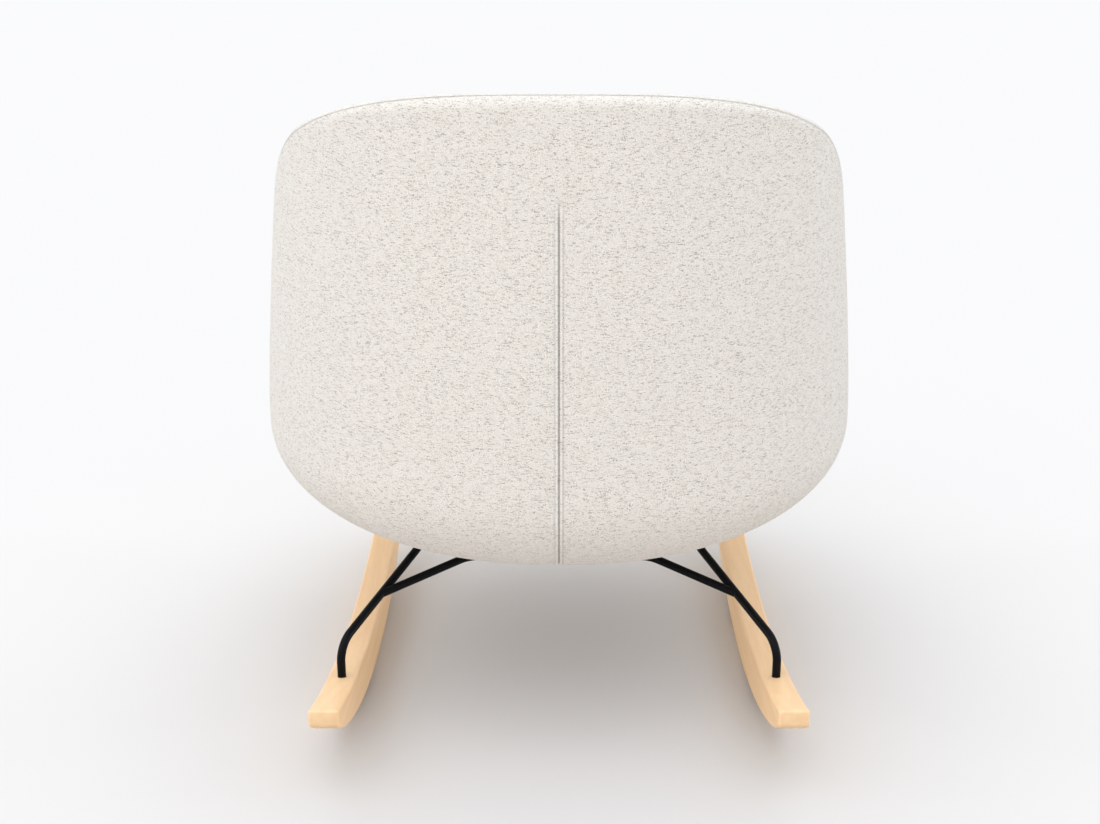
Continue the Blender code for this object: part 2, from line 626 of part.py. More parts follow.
for side_name, side in SIDES:
    rocker = make_rocker(side_name + "_rocker", side * ROCKER_SPACING / 2)
    rod = make_rod(side_name + "_side_rod", side_corners(side), ROD_RADIUS, ROD_BEND, powder_coat)
    rod_space = make_rod(
        side_name + "_rod_space", side_corners(side), ROD_RADIUS + CLEARANCE, ROD_BEND, powder_coat
    )
    cut(rear_brace, rod_space)
    cut(front_brace, rod_space)

    for foot_name, y in FEET:
        label = side_name + "_" + foot_name
        x = side * ROCKER_SPACING / 2
        top, low = rocker_top(y), rocker_bottom(y)
        seat_z = low + COUNTERBORE_DEPTH
        socket_z = top - SOCKET_DEPTH
        socket = drill(
            label + "_socket",
            ROD_DIAMETER + 2 * CLEARANCE,
            Vector((x, y, socket_z)),
            Vector((x, y, top + ROD_RADIUS * 4)),
            ROD_SIDES * 2,
        )
        way = drill(label + "_bolt_way", BOLT_HOLE, Vector((x, y, 0)), Vector((x, y, top)))
        sink = drill(
            label + "_counterbore", BOLT_HEAD + 0.001, Vector((x, y, -0.01)), Vector((x, y, seat_z))
        )
        for cutter in (socket, way, sink):
            cut(rocker, cutter)
        tapping = drill(
            label + "_tapping", BOLT_HOLE, Vector((x, y, 0)), Vector((x, y, socket_z + ROD_TAPPING))
        )
        cut(rod, tapping)
        shank = socket_z + ROD_TAPPING - 0.001 - seat_z
        turned(
            label + "_rocker_bolt",
            [
                (BOLT_HEAD / 2 - 0.0015, 0),
                (BOLT_HEAD / 2, 0.0015),
                (BOLT_HEAD / 2, BOLT_HEAD_HEIGHT),
                (BOLT_DIAMETER / 2, BOLT_HEAD_HEIGHT),
                (BOLT_DIAMETER / 2, BOLT_HEAD_HEIGHT + shank),
            ],
            Vector((x, y, seat_z - CLEARANCE - BOLT_HEAD_HEIGHT)),
            Vector((0, 0, 1)),
            zinc,
        )

    run = (run_point(RUN_REAR_Y, side) - run_point(RUN_FRONT_Y, side)).normalized()
    up = Vector((1, 0, 0)).cross(run)
    for mount_name, y in MOUNTS:
        label = side_name + "_" + mount_name
        base = run_point(y, side) + up * (ROD_RADIUS + CLEARANCE)
        base.x = side * MOUNT_X
        # Tab welded on top of the rod, reaching inboard under the tub
        middle_x = side * (RUN_X + ROD_RADIUS - TAB_LENGTH / 2)
        tab_base = Vector((middle_x, base.y, base.z))
        corners = []
        for height in (0, TAB_THICKNESS):
            for ax, ay in ((1, 1), (-1, 1), (-1, -1), (1, -1)):
                offset = Vector((ax * TAB_LENGTH / 2, 0, 0)) + run * (ay * TAB_WIDTH / 2)
                corners.append(tab_base + offset + up * height)
        quads = [(0, 1, 2, 3), (4, 5, 6, 7)]
        quads += [(i, (i + 1) % 4, (i + 1) % 4 + 4, i + 4) for i in range(4)]
        tab = add_object(label + "_mount_tab", corners, quads, powder_coat)

        # Spacer between the tab and the cover, trimmed to the shape of the underside
        spacer_base = base + up * (TAB_THICKNESS + CLEARANCE)
        spacer = turned(
            label + "_spacer",
            [(SPACER_DIAMETER / 2, 0), (SPACER_DIAMETER / 2, SPACER_HEIGHT * 3)],
            spacer_base,
            up,
            rubber,
            16,
        )
        cut(spacer, tub_envelope)
        bore_end = base + up * (TAB_THICKNESS + SPACER_HEIGHT * 4)
        cut(spacer, drill(label + "_spacer_bore", SPACER_BORE, base, bore_end))

        # Flange of the T-nut lies in a spot face at the lowest part of the shell under it
        heights = []
        for j in range(8):
            a = math.pi * j / 4
            rim = Vector((math.cos(a), 0, 0)) + run * math.sin(a)
            start = base + rim * (TNUT_FLANGE / 2)
            hit = shell_inside.ray_cast(start, up)
            heights.append(hit[3])
        flange_low = min(heights) - CLEARANCE
        flange_top = flange_low + TNUT_FLANGE_THICKNESS
        bolt_way = drill(label + "_way", BOLT_HOLE, base - up * 0.02, base + up * (flange_top + 0.01))
        for layer in (tab, back_cover):
            cut(layer, bolt_way)
        nut_way = drill(
            label + "_nut_way", TNUT_BARREL + 2 * CLEARANCE, base, base + up * (flange_top + 0.03)
        )
        spot_face = drill(
            label + "_spot_face",
            TNUT_FLANGE + 4 * CLEARANCE,
            base + up * (flange_low - CLEARANCE),
            base + up * (flange_top + 0.02),
            16,
        )
        cut(back_wadding, nut_way)
        cut(moulded_shell, nut_way)
        cut(moulded_shell, spot_face)
        pocket = drill(
            label + "_pocket",
            TNUT_FLANGE + 4 * CLEARANCE,
            base + up * (flange_low - 0.012),
            base + up * (flange_top + TNUT_POCKET),
            16,
        )
        cut(seat_foam, pocket)
        turned(
            label + "_t_nut",
            [
                (BOLT_HOLE / 2, -TNUT_BARREL_LENGTH),
                (TNUT_BARREL / 2, -TNUT_BARREL_LENGTH),
                (TNUT_BARREL / 2, 0),
                (TNUT_FLANGE / 2, 0),
                (TNUT_FLANGE / 2, TNUT_FLANGE_THICKNESS),
                (BOLT_HOLE / 2, TNUT_FLANGE_THICKNESS),
            ],
            base + up * flange_low,
            up,
            zinc,
            12,
            True,
        )
        turned(
            label + "_seat_bolt",
            [
                (BOLT_HEAD / 2 - 0.0015, -BOLT_HEAD_HEIGHT),
                (BOLT_HEAD / 2, 0.0015 - BOLT_HEAD_HEIGHT),
                (BOLT_HEAD / 2, 0),
                (BOLT_DIAMETER / 2, 0),
                (BOLT_DIAMETER / 2, flange_top + 0.001 + CLEARANCE),
            ],
            base - up * CLEARANCE,
            up,
            zinc,
        )
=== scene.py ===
import math

import bmesh
import bpy
import numpy as np
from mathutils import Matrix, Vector


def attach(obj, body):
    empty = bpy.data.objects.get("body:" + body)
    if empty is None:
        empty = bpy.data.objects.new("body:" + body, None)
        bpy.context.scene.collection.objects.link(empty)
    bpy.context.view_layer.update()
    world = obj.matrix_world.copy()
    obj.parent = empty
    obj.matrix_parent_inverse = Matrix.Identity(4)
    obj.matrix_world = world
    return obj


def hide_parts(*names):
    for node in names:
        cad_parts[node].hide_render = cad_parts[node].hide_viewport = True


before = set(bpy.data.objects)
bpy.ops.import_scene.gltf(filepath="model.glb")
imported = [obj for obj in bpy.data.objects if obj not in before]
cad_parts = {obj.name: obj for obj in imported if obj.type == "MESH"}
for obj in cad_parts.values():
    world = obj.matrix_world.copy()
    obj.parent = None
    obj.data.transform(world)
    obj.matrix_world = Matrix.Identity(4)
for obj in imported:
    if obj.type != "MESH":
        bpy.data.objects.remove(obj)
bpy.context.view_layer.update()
scene = bpy.context.scene
print("frame loaded,", len(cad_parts), "solids")


def placed(name, data):
    made = bpy.data.objects.new(name, data)
    scene.collection.objects.link(made)
    return made


# camera, from behind and above

photoView = {
    "focal": 46.8,  # mm, on a sensor 36 mm wide
    "place": (0.0, 1.827, 0.9565),
    "pitchDown": 18.5,
    "shiftX": -9 / 1100,
}


def makeCamera():
    data = bpy.data.cameras.new("photo_camera")
    data.sensor_fit = "HORIZONTAL"
    data.sensor_width = 36.0
    data.lens = photoView["focal"]
    data.shift_x = photoView["shiftX"]
    camera = placed("photo_camera", data)
    camera.location = photoView["place"]
    camera.rotation_euler = (math.radians(90 - photoView["pitchDown"]), 0, math.pi)
    scene.camera = camera


makeCamera()


# small helpers for node trees

def newMaterial(name):
    material = bpy.data.materials.new(name)
    material.use_nodes = True
    return material, material.node_tree, material.node_tree.nodes["Principled BSDF"]


def feed(tree, node, inputs):
    for key, value in inputs.items():
        if isinstance(value, bpy.types.NodeSocket):
            tree.links.new(value, node.inputs[key])
        else:
            node.inputs[key].default_value = value


def addNode(tree, kind, inputs=None, **settings):
    made = tree.nodes.new(kind)
    for key, value in settings.items():
        setattr(made, key, value)
    feed(tree, made, inputs or {})
    return made


def calc(tree, operation, first, second=0.0, third=0.0):
    values = {0: first, 1: second, 2: third}
    return addNode(tree, "ShaderNodeMath", values, operation=operation).outputs[0]


def ranged(tree, value, low, high, toLow=0.0, toHigh=1.0, soft=True):
    kind = "SMOOTHSTEP" if soft else "LINEAR"
    inputs = {"Value": value, "From Min": low, "From Max": high, "To Min": toLow, "To Max": toHigh}
    return addNode(tree, "ShaderNodeMapRange", inputs, interpolation_type=kind).outputs[0]


def noise(tree, vector, scale, detail=2.0, roughness=0.5):
    inputs = {"Vector": vector, "Scale": scale, "Detail": detail, "Roughness": roughness}
    return addNode(tree, "ShaderNodeTexNoise", inputs).outputs["Fac"]


def stretched(tree, vector, scale):
    inputs = {"Vector": vector, "Scale": scale}
    return addNode(tree, "ShaderNodeMapping", inputs).outputs[0]


def blendColor(tree, amount, first, second, mode="MIX"):
    # a mix node has its factor at 0 and its two colours at 6 and 7
    inputs = {0: amount}
    for key, value in ((6, first), (7, second)):
        inputs[key] = (*value, 1.0) if isinstance(value, tuple) else value
    return addNode(tree, "ShaderNodeMix", inputs, data_type="RGBA", blend_type=mode).outputs[2]


def addBump(tree, shader, height, distance, strength=1.0):
    inputs = {"Height": height, "Distance": distance, "Strength": strength}
    feed(tree, shader, {"Normal": addNode(tree, "ShaderNodeBump", inputs).outputs[0]})


# pale floor and soft light

studio = {
    "worldLow": (0.59, 0.578, 0.555),  # light from the horizon
    "worldHigh": (1.40, 1.49, 1.62),  # light from overhead
    "worldFar": (0.40, 0.40, 0.40),  # added from the far side of the chair
    "backdrop": (0.955, 0.955, 0.955),
    "sunStrength": 0.88,
    "sunAngle": 75,  # degrees, a wide soft source
    "sunTurn": (34, 0, 147),  # degrees
    "fillPower": 0.15,  # low soft light along the floor from both sides
    "fillSize": (1.2, 0.25),
    "fillSpread": 10,  # degrees
    "fillPlace": (1.6, 0.05, 0.30),
    "fillAim": (-0.27, 0.05, 0.06),
    "floorColor": (0.662, 0.640, 0.615),
    "floorPaintedShadow": (0.605, 0.580, 0.562),  # painted shadow under the chair, a darker floor colour
    "paintedShadowCentre": (0.0, 0.13, 0.0),
    "paintedShadowRadius": (0.05, 0.70),
    "floorSize": 90.0,
    "floorRough": 0.85,
}


def makeWorld():
    world = bpy.data.worlds.new("soft_room")
    world.use_nodes = True
    tree = world.node_tree
    aim = addNode(tree, "ShaderNodeTexCoord").outputs["Generated"]
    parts = addNode(tree, "ShaderNodeSeparateXYZ", {0: aim}).outputs
    rise = ranged(tree, parts[2], 0.0, 1.0, soft=False)
    far = ranged(tree, parts[1], 0.0, -1.0, soft=False)
    tone = blendColor(tree, rise, studio["worldLow"], studio["worldHigh"])
    tone = blendColor(tree, far, tone, studio["worldFar"], "ADD")
    rays = addNode(tree, "ShaderNodeLightPath").outputs
    seen = calc(tree, "MAXIMUM", rays["Is Camera Ray"], rays["Is Glossy Ray"])
    seen = calc(tree, "MAXIMUM", seen, rays["Is Transmission Ray"])
    feed(tree, tree.nodes["Background"], {"Color": blendColor(tree, seen, tone, studio["backdrop"])})
    scene.world = world


def makeLamps():
    sun = bpy.data.lights.new("soft_key", "SUN")
    sun.energy = studio["sunStrength"]
    sun.angle = math.radians(studio["sunAngle"])
    placed("soft_key", sun).rotation_euler = [math.radians(a) for a in studio["sunTurn"]]
    for side in (1, -1):
        fill = bpy.data.lights.new("low_fill", "AREA")
        fill.energy = studio["fillPower"]
        fill.shape = "RECTANGLE"
        fill.size, fill.size_y = studio["fillSize"]
        fill.spread = math.radians(studio["fillSpread"])
        start, end = (Vector(studio[key]) for key in ("fillPlace", "fillAim"))
        start.x, end.x = side * start.x, side * end.x
        lamp = placed("low_fill", fill)
        lamp.location = start
        lamp.rotation_euler = (end - start).to_track_quat("-Z", "Y").to_euler()
        lamp.visible_camera = False


def makeFloor():
    half = studio["floorSize"] / 2
    corners = [(-half, -half, 0), (half, -half, 0), (half, half, 0), (-half, half, 0)]
    mesh = bpy.data.meshes.new("floor")
    mesh.from_pydata(corners, [], [(0, 1, 2, 3)])
    floor = placed("floor", mesh)
    material, tree, shader = newMaterial("pale_floor")
    place = addNode(tree, "ShaderNodeTexCoord").outputs["Object"]
    # painted shadow: the floor's colour darkens towards a point under the chair
    ends = {0: place, 1: studio["paintedShadowCentre"]}
    away = addNode(tree, "ShaderNodeVectorMath", ends, operation="DISTANCE").outputs["Value"]
    paintedShadow = ranged(tree, away, *studio["paintedShadowRadius"])
    tone = blendColor(tree, paintedShadow, studio["floorPaintedShadow"], studio["floorColor"])
    feed(tree, shader, {"Base Color": tone, "Roughness": studio["floorRough"], "Specular IOR Level": 0.0})
    mesh.materials.append(material)


makeWorld()
makeLamps()
makeFloor()
scene.view_settings.view_transform = "Standard"
print("camera, floor and light set")


# cover cloth: plain weave in cream with short darker slubs along the weft

clothLook = {
    "rowPitch": 0.00102,
    "columnPitch": 0.0013,
    "weftRise": (0.30, 0.70),  # height of a yarn where it goes over: its change, then its start
    "warpRise": (-0.55, 0.85),
    "slubLength": 0.0072,
    "lightRange": (0.38, 0.53),  # noise levels between which each kind fades in or out
    "slubRange": (0.545, 0.65),
    "darkRange": (0.63, 0.74),
    "nepRange": (0.52, 0.64),
    "patchScale": (70.0, 150.0, 1.0),
    "patchSize": 0.10,
    "cloudScale": 60.0,
    "nepScale": (620.0, 800.0, 1.0),
    "rowShift": 53.0,  # pushes neighbouring rows out of step
    "rowApart": 7.31,
    "cream": (0.87, 0.804, 0.722),
    "pale": (0.968, 0.914, 0.84),
    # colour of the painted shade between yarns, also the tone of the slubs
    "gapShadeAndSlubTone": (0.49, 0.425, 0.355),
    "slub": (0.24, 0.20, 0.16),
    "nep": (1.0, 0.968, 0.918),
    # colour of the painted shade in seams and folds
    "seamPaintedShade": (0.20, 0.185, 0.165),
    "wander": 0.0019,  # how far a row strays from straight
    "wanderScale": 38.0,
    "lightMix": 0.5,
    "gapPaintedShadeMix": 0.34,
    "slubMix": 0.72,
    "darkMix": 0.82,
    "nepMix": 0.95,
    "edgePaintedHighlightMix": 0.7,
    "seamPaintedShadeMix": 0.62,
    "slubSink": -0.45,
    "nepLift": 0.5,
    "bumpDepth": 0.0005,
    "sheen": 0.35,
}


def countYarns(tree, place, pitch):
    # number of the yarn at a place, and how round it stands there
    yarn = calc(tree, "DIVIDE", place, pitch)
    number = calc(tree, "FLOOR", yarn)
    part = calc(tree, "SUBTRACT", yarn, number)
    return number, calc(tree, "SINE", calc(tree, "MULTIPLY", part, math.pi))


def makeCloth(name, look):
    material, tree, shader = newMaterial(name)
    cloth = addNode(tree, "ShaderNodeUVMap", uv_map="cloth").outputs["UV"]
    wander = noise(tree, cloth, look["wanderScale"], 2.0)
    parts = addNode(tree, "ShaderNodeSeparateXYZ", {0: cloth}).outputs
    across = parts[0]
    along = calc(tree, "MULTIPLY_ADD", wander, look["wander"], parts[1])

    rowNumber, weftRound = countYarns(tree, along, look["rowPitch"])
    columnNumber, warpRound = countYarns(tree, across, look["columnPitch"])
    over = calc(tree, "FLOORED_MODULO", calc(tree, "ADD", rowNumber, columnNumber), 2.0)
    weftRise = calc(tree, "MULTIPLY_ADD", over, *look["weftRise"])
    warpRise = calc(tree, "MULTIPLY_ADD", over, *look["warpRise"])
    weft = calc(tree, "MULTIPLY", weftRound, weftRise)
    warp = calc(tree, "MULTIPLY", warpRound, warpRise)
    yarn = calc(tree, "MAXIMUM", weft, warp)

    # each weft row has its own run of thick, thin and dark lengths
    chance = addNode(tree, "ShaderNodeTexWhiteNoise", {"W": rowNumber}, noise_dimensions="1D").outputs[0]
    run = calc(tree, "DIVIDE", across, look["slubLength"])
    shifted = calc(tree, "MULTIPLY_ADD", chance, look["rowShift"], run)
    apart = calc(tree, "MULTIPLY", rowNumber, look["rowApart"])
    lane = addNode(tree, "ShaderNodeCombineXYZ", {0: shifted, 1: apart}).outputs[0]
    length = noise(tree, lane, 1.0, 4.0, 0.74)
    patchy = noise(tree, stretched(tree, cloth, look["patchScale"]), 1.0, 2.0)
    level = calc(tree, "MULTIPLY_ADD", patchy, look["patchSize"], length)
    light = ranged(tree, level, *look["lightRange"], 1.0, 0.0)
    slub = ranged(tree, level, *look["slubRange"])
    dark = ranged(tree, level, *look["darkRange"])
    specks = noise(tree, stretched(tree, cloth, look["nepScale"]), 1.0, 1.0)
    nep = ranged(tree, specks, *look["nepRange"])

    cloudy = noise(tree, cloth, look["cloudScale"], 3.0, 0.6)
    color = blendColor(tree, ranged(tree, cloudy, 0.3, 0.7, 0.0, 0.2), look["cream"], look["pale"])
    color = blendColor(tree, calc(tree, "MULTIPLY", light, look["lightMix"]), color, look["pale"])
    # painted shade in the gaps between the yarns
    gapShadeMask = calc(tree, "MULTIPLY_ADD", yarn, -look["gapPaintedShadeMix"], look["gapPaintedShadeMix"])
    color = blendColor(tree, gapShadeMask, color, look["gapShadeAndSlubTone"])
    for kind, mix, tone in ((slub, "slubMix", "gapShadeAndSlubTone"), (dark, "darkMix", "slub"), (nep, "nepMix", "nep")):
        color = blendColor(tree, calc(tree, "MULTIPLY", kind, look[mix]), color, look[tone])
    # the painted shading attribute is above 0 in a seam, where it paints shade, and below 0 on a raised
    # edge, where it paints a highlight in the nep colour
    sewn = addNode(tree, "ShaderNodeAttribute", attribute_name="paintedShading").outputs["Fac"]
    paintedHighlightMask = ranged(tree, sewn, 0.0, -1.0, 0.0, look["edgePaintedHighlightMix"], False)
    color = blendColor(tree, paintedHighlightMask, color, look["nep"])
    paintedSeamMask = ranged(tree, sewn, 0.0, 1.0, 0.0, look["seamPaintedShadeMix"], False)
    color = blendColor(tree, paintedSeamMask, color, look["seamPaintedShade"])

    lift = calc(tree, "MULTIPLY_ADD", slub, look["slubSink"], yarn)
    lift = calc(tree, "MULTIPLY_ADD", nep, look["nepLift"], lift)
    addBump(tree, shader, lift, look["bumpDepth"], 0.7)
    rough = ranged(tree, cloudy, 0.2, 0.8, 0.86, 0.96, False)
    feed(tree, shader, {"Base Color": color, "Roughness": rough, "Specular IOR Level": 0.2})
    feed(tree, shader, {"Sheen Weight": look["sheen"], "Sheen Roughness": 0.5})
    return material


clothFinish = makeCloth("cream_melange_weave", clothLook)


threadLook = {
    "deep": (0.62, 0.57, 0.51),
    "pale": (0.82, 0.77, 0.71),
    "twistScale": 1800.0,
}


def makeThread():
    material, tree, shader = newMaterial("cream_thread")
    place = addNode(tree, "ShaderNodeTexCoord").outputs["Object"]
    twist = noise(tree, place, threadLook["twistScale"], 2.0)
    color = blendColor(tree, twist, threadLook["deep"], threadLook["pale"])
    feed(tree, shader, {"Base Color": color, "Roughness": 0.7})
    addBump(tree, shader, twist, 0.0002, 0.6)
    return material


threadFinish = makeThread()


woodLook = {
    "pale": (0.905, 0.625, 0.36),
    "deep": (0.84, 0.55, 0.30),
    "pore": (0.72, 0.456, 0.24),
    "bendScale": (9.0, 2.2, 9.0),
    "bendSize": 0.05,
    "broadScale": (70.0, 2.4, 70.0),
    "fineScale": (420.0, 9.0, 420.0),
    "poreScale": (900.0, 55.0, 900.0),
}


def makeWood():
    material, tree, shader = newMaterial("oiled_pale_beech")
    place = addNode(tree, "ShaderNodeTexCoord").outputs["Object"]
    bend = noise(tree, stretched(tree, place, woodLook["bendScale"]), 1.0, 2.0)
    drift = addNode(tree, "ShaderNodeCombineXYZ", {0: bend, 2: bend}).outputs[0]
    shift = {0: drift, "Scale": woodLook["bendSize"]}
    drift = addNode(tree, "ShaderNodeVectorMath", shift, operation="SCALE").outputs[0]
    grainPlace = addNode(tree, "ShaderNodeVectorMath", {0: place, 1: drift}, operation="ADD").outputs[0]
    broad = noise(tree, stretched(tree, grainPlace, woodLook["broadScale"]), 1.0, 3.0, 0.55)
    fine = noise(tree, stretched(tree, grainPlace, woodLook["fineScale"]), 1.0, 3.0, 0.6)
    pore = noise(tree, stretched(tree, place, woodLook["poreScale"]), 1.0, 1.0)
    color = blendColor(tree, ranged(tree, broad, 0.3, 0.72), woodLook["pale"], woodLook["deep"])
    color = blendColor(tree, ranged(tree, fine, 0.45, 0.8, 0.0, 0.35), color, woodLook["deep"])
    flecks = ranged(tree, pore, 0.62, 0.72, 0.0, 0.25)
    color = blendColor(tree, flecks, color, woodLook["pore"])
    rough = ranged(tree, fine, 0.2, 0.8, 0.42, 0.56, False)
    feed(tree, shader, {"Base Color": color, "Roughness": rough, "Specular IOR Level": 0.35})
    grainHeight = calc(tree, "MULTIPLY_ADD", flecks, -0.8, fine)
    addBump(tree, shader, grainHeight, 0.0003, 0.35)
    return material


woodFinish = makeWood()


def makeRigid(name, color, roughness, metallic, grainScale, grainDepth, shine=0.5, spread=0.08):
    material, tree, shader = newMaterial(name)
    place = addNode(tree, "ShaderNodeTexCoord").outputs["Object"]
    grain = noise(tree, place, grainScale, 3.0, 0.6)
    patch = noise(tree, place, grainScale / 30, 2.0)
    darker = tuple(c * 0.75 for c in color)
    tone = blendColor(tree, patch, darker, color)
    rough = ranged(tree, patch, 0.3, 0.7, roughness - spread, roughness + spread, False)
    feed(tree, shader, {"Base Color": tone, "Roughness": rough})
    feed(tree, shader, {"Metallic": metallic, "Specular IOR Level": shine})
    addBump(tree, shader, grain, grainDepth, 0.4)
    return material


coatLook = {"roughness": 0.38, "metallic": 0.0, "grainScale": 1500.0, "grainDepth": 0.00012, "shine": 0.10}
zincLook = {"roughness": 0.34, "metallic": 1.0, "grainScale": 900.0, "grainDepth": 0.00005}
rubberLook = {"roughness": 0.78, "metallic": 0.0, "grainScale": 700.0, "grainDepth": 0.0002}
plasticLook = {"roughness": 0.55, "metallic": 0.0, "grainScale": 900.0, "grainDepth": 0.0001}
coatFinish = makeRigid("black_powder_coat", (0.0032, 0.0032, 0.0046), **coatLook)
zincFinish = makeRigid("zinc_plate", (0.60, 0.60, 0.62), **zincLook)
rubberFinish = makeRigid("black_rubber", (0.018, 0.018, 0.018), **rubberLook)
shellFinish = makeRigid("moulded_plastic", (0.055, 0.055, 0.06), **plasticLook)
print("finishes made")


# the tub's surface; angle 0 is the rear, a quarter turn is the sitter's left

tub = {
    "halfWidth": 0.386,
    "rearDepth": 0.348,
    "frontDepth": 0.345,
    "centreY": -0.044,
    "baseZ": 0.190,
    "lean": math.radians(4.8),
    "roundRear": 2.16,
    "roundFront": 2.8,
    "bowlHeight": 0.169,
    "bowlRound": 2.11,
    "taper": 0.123,
    "taperPower": 1.285,
    "taperHeight": 0.451,
    "backHeight": 0.633,
    "backCrown": 0.149,
    "crownPower": 1.37,
    "armStart": math.radians(59.6),
    "armEnd": math.radians(159),
    "frontHeight": 0.165,
    "wall": 0.040,
    "rimRound": 0.014,
    "seamAngles": (0, 20, 30, 40, 50, 55, 60, 65, 70, 180),  # round the tub
    "seamTurns": (76, 70, 63, 53, 38, 28, 15, 6, 4, 4),  # round the rim, rising from the outside
    "seatEdge": 0.135,
    "seatCrown": 0.030,
}


def planOutline(angle):
    across, along = np.sin(angle), np.cos(angle)
    power = np.where(along > 0, tub["roundRear"], tub["roundFront"])
    depth = np.where(along > 0, tub["rearDepth"], tub["frontDepth"])
    size = (np.abs(across) ** power + np.abs(along) ** power) ** (-1 / power)
    x, y = across * size * tub["halfWidth"], along * size * depth
    return x, y, np.hypot(x, y)


def eased(share):
    share = np.clip(share, 0, 1)
    return share * share * (3 - 2 * share)


def fromRear(angle):
    return np.abs((angle + math.pi) % (2 * math.pi) - math.pi)


def rimHeight(angle):
    turn = fromRear(angle)
    back = tub["backHeight"] - tub["backCrown"] * (1 - np.cos(turn)) ** tub["crownPower"]
    fall = eased((turn - tub["armStart"]) / (tub["armEnd"] - tub["armStart"]))
    return back * (1 - fall) + tub["frontHeight"] * fall


def bowlTurn(depth, height):
    rest = 1 - (height - depth) / (tub["bowlHeight"] - depth)
    return np.arccos(np.clip(rest, 0, 1) ** (tub["bowlRound"] / 2))


def reach(depth, height, distance):
    rise = np.maximum(height - tub["bowlHeight"], 0) / tub["taperHeight"]
    wall = 1 - tub["taper"] * rise ** tub["taperPower"]
    bowl = np.sin(bowlTurn(depth, height)) ** (2 / tub["bowlRound"])
    return (1 - depth / distance) * np.where(height >= tub["bowlHeight"], wall, bowl)


def toWorld(x, y, height):
    cos, sin = math.cos(tub["lean"]), math.sin(tub["lean"])
    along = tub["centreY"] + y * cos + height * sin
    up = tub["baseZ"] + height * cos - y * sin
    return np.stack([x, along, up], axis=-1)


def tubPoint(angle, depth, height):
    x, y, distance = planOutline(angle)
    share = reach(depth, height, distance)
    return toWorld(x * share, y * share, height)


def turnsRound(count):
    return np.arange(count) * 2 * math.pi / count - math.pi


def wrapped(row):  # with its first entry again at the end
    return np.append(row, row[:1], axis=0)


def seamTurn(angle):  # the seam lies on top of the back and behind the edge of the arms
    turn = np.degrees(fromRear(angle))
    spread = [np.interp(np.abs(turn + d), tub["seamAngles"], tub["seamTurns"]) for d in (-6, -3, 0, 3, 6)]
    return np.radians(np.mean(spread, axis=0))


def rollPoint(turn, skin=0.0):  # depth and height above the rim's base, round the rolled rim
    half = tub["wall"] / 2
    return half - (half - skin) * np.cos(turn), (tub["rimRound"] - skin) * np.sin(turn)


def spacedRows(depth, height, carried, angle, spacing):
    # rows at set shares of the way along the surface, from closely sampled depths and heights
    points = tubPoint(angle[None, :], depth, height)
    steps = np.linalg.norm(np.diff(points, axis=0), axis=2)
    length = np.vstack([np.zeros(len(angle)), np.cumsum(steps, axis=0)])
    values = np.dstack([points, height, carried])
    found = np.empty((len(spacing), len(angle), 5))
    for c in range(len(angle)):
        at = spacing * length[-1, c]
        for v in range(5):
            found[:, c, v] = np.interp(at, length[:, c], values[:, c, v])
    return found[:, :, :3], found[:, :, 3], found[:, :, 4], spacing[:, None] * length[-1]


def easedSpacing(length, finest, widest, growth):
    # shares from 0 to 1 whose steps grow away from the far end
    place, left = [0.0], 0.0
    while left < length:
        left += min(finest + growth * left, widest)
        place.append(left)
    return 1 - np.array(place[::-1]) / place[-1]


def rowNormals(rows, wrap=True):
    along = np.gradient(rows, axis=0)
    if wrap:
        across = (np.roll(rows, -1, axis=1) - np.roll(rows, 1, axis=1)) / 2
    else:
        across = np.gradient(rows, axis=1)
    normal = np.cross(across, along)
    return normal / np.maximum(np.linalg.norm(normal, axis=2, keepdims=True), 1e-12)


def gridFaces(rows, columns, wrap):
    faces = []
    for i in range(rows - 1):
        for j in range(columns if wrap else columns - 1):
            k = (j + 1) % columns
            faces.append((i * columns + j, i * columns + k, (i + 1) * columns + k, (i + 1) * columns + j))
    return faces


def faceOutward(mesh):
    work = bmesh.new()
    work.from_mesh(mesh)
    bmesh.ops.recalc_face_normals(work, faces=work.faces)
    for face in work.faces:
        face.smooth = True
    work.to_mesh(mesh)
    work.free()


def clothMesh(name, rows, paintedShadings, cloths, poles, loop, material):
    # rows of points round the tub; cloths holds the cloth's coordinates at both edges of each strip
    count, columns = len(rows), len(rows[0])
    points = [p for row in rows for p in row]
    faces, corners = [], []
    strips = count if loop else count - 1
    for i in range(strips):
        low, high = cloths[i]
        base, top = i * columns, ((i + 1) % count) * columns
        for j in range(columns):
            k = (j + 1) % columns
            faces.append((base + j, base + k, top + k, top + j))
            corners += [low[j], low[j + 1], high[j + 1], high[j]]
    for row, point, cloth in poles:
        pole = len(points)
        points.append(point)
        for j in range(columns):
            a, b = row * columns + j, row * columns + (j + 1) % columns
            faces.append((pole, a, b) if row else (pole, b, a))
            corners += [cloth[j + 1]] * 3
    mesh = bpy.data.meshes.new(name)
    mesh.from_pydata([tuple(p) for p in points], [], faces)
    layer = mesh.uv_layers.new(name="cloth")
    layer.data.foreach_set("uv", np.asarray(corners, np.float32).ravel())
    paintedShading = mesh.attributes.new("paintedShading", "FLOAT", "POINT")
    values = np.zeros(len(points), np.float32)
    values[:count * columns] = np.concatenate([np.broadcast_to(c, columns) for c in paintedShadings])
    paintedShading.data.foreach_set("value", values)
    faceOutward(mesh)
    mesh.materials.append(material)
    return placed(name, mesh)


def smoothUp(grid, rowsAt, columnsAt, wrap):
    # cubic blend of a coarse grid at fractional rows and columns
    def along(values, at, closed):
        n = len(values)
        base = np.floor(at).astype(int)
        part = (at - base)[(...,) + (None,) * (values.ndim - 1)]
        pick = [(base + k) % n if closed else np.clip(base + k, 0, n - 1) for k in (-1, 0, 1, 2)]
        a, b, c, d = (values[p] for p in pick)
        return b + 0.5 * part * (c - a + part * (2 * a - 5 * b + 4 * c - d + part * (3 * (b - c) + d - a)))

    tall = along(grid, rowsAt, False)
    return np.swapaxes(along(np.swapaxes(tall, 0, 1), columnsAt, wrap), 0, 1)


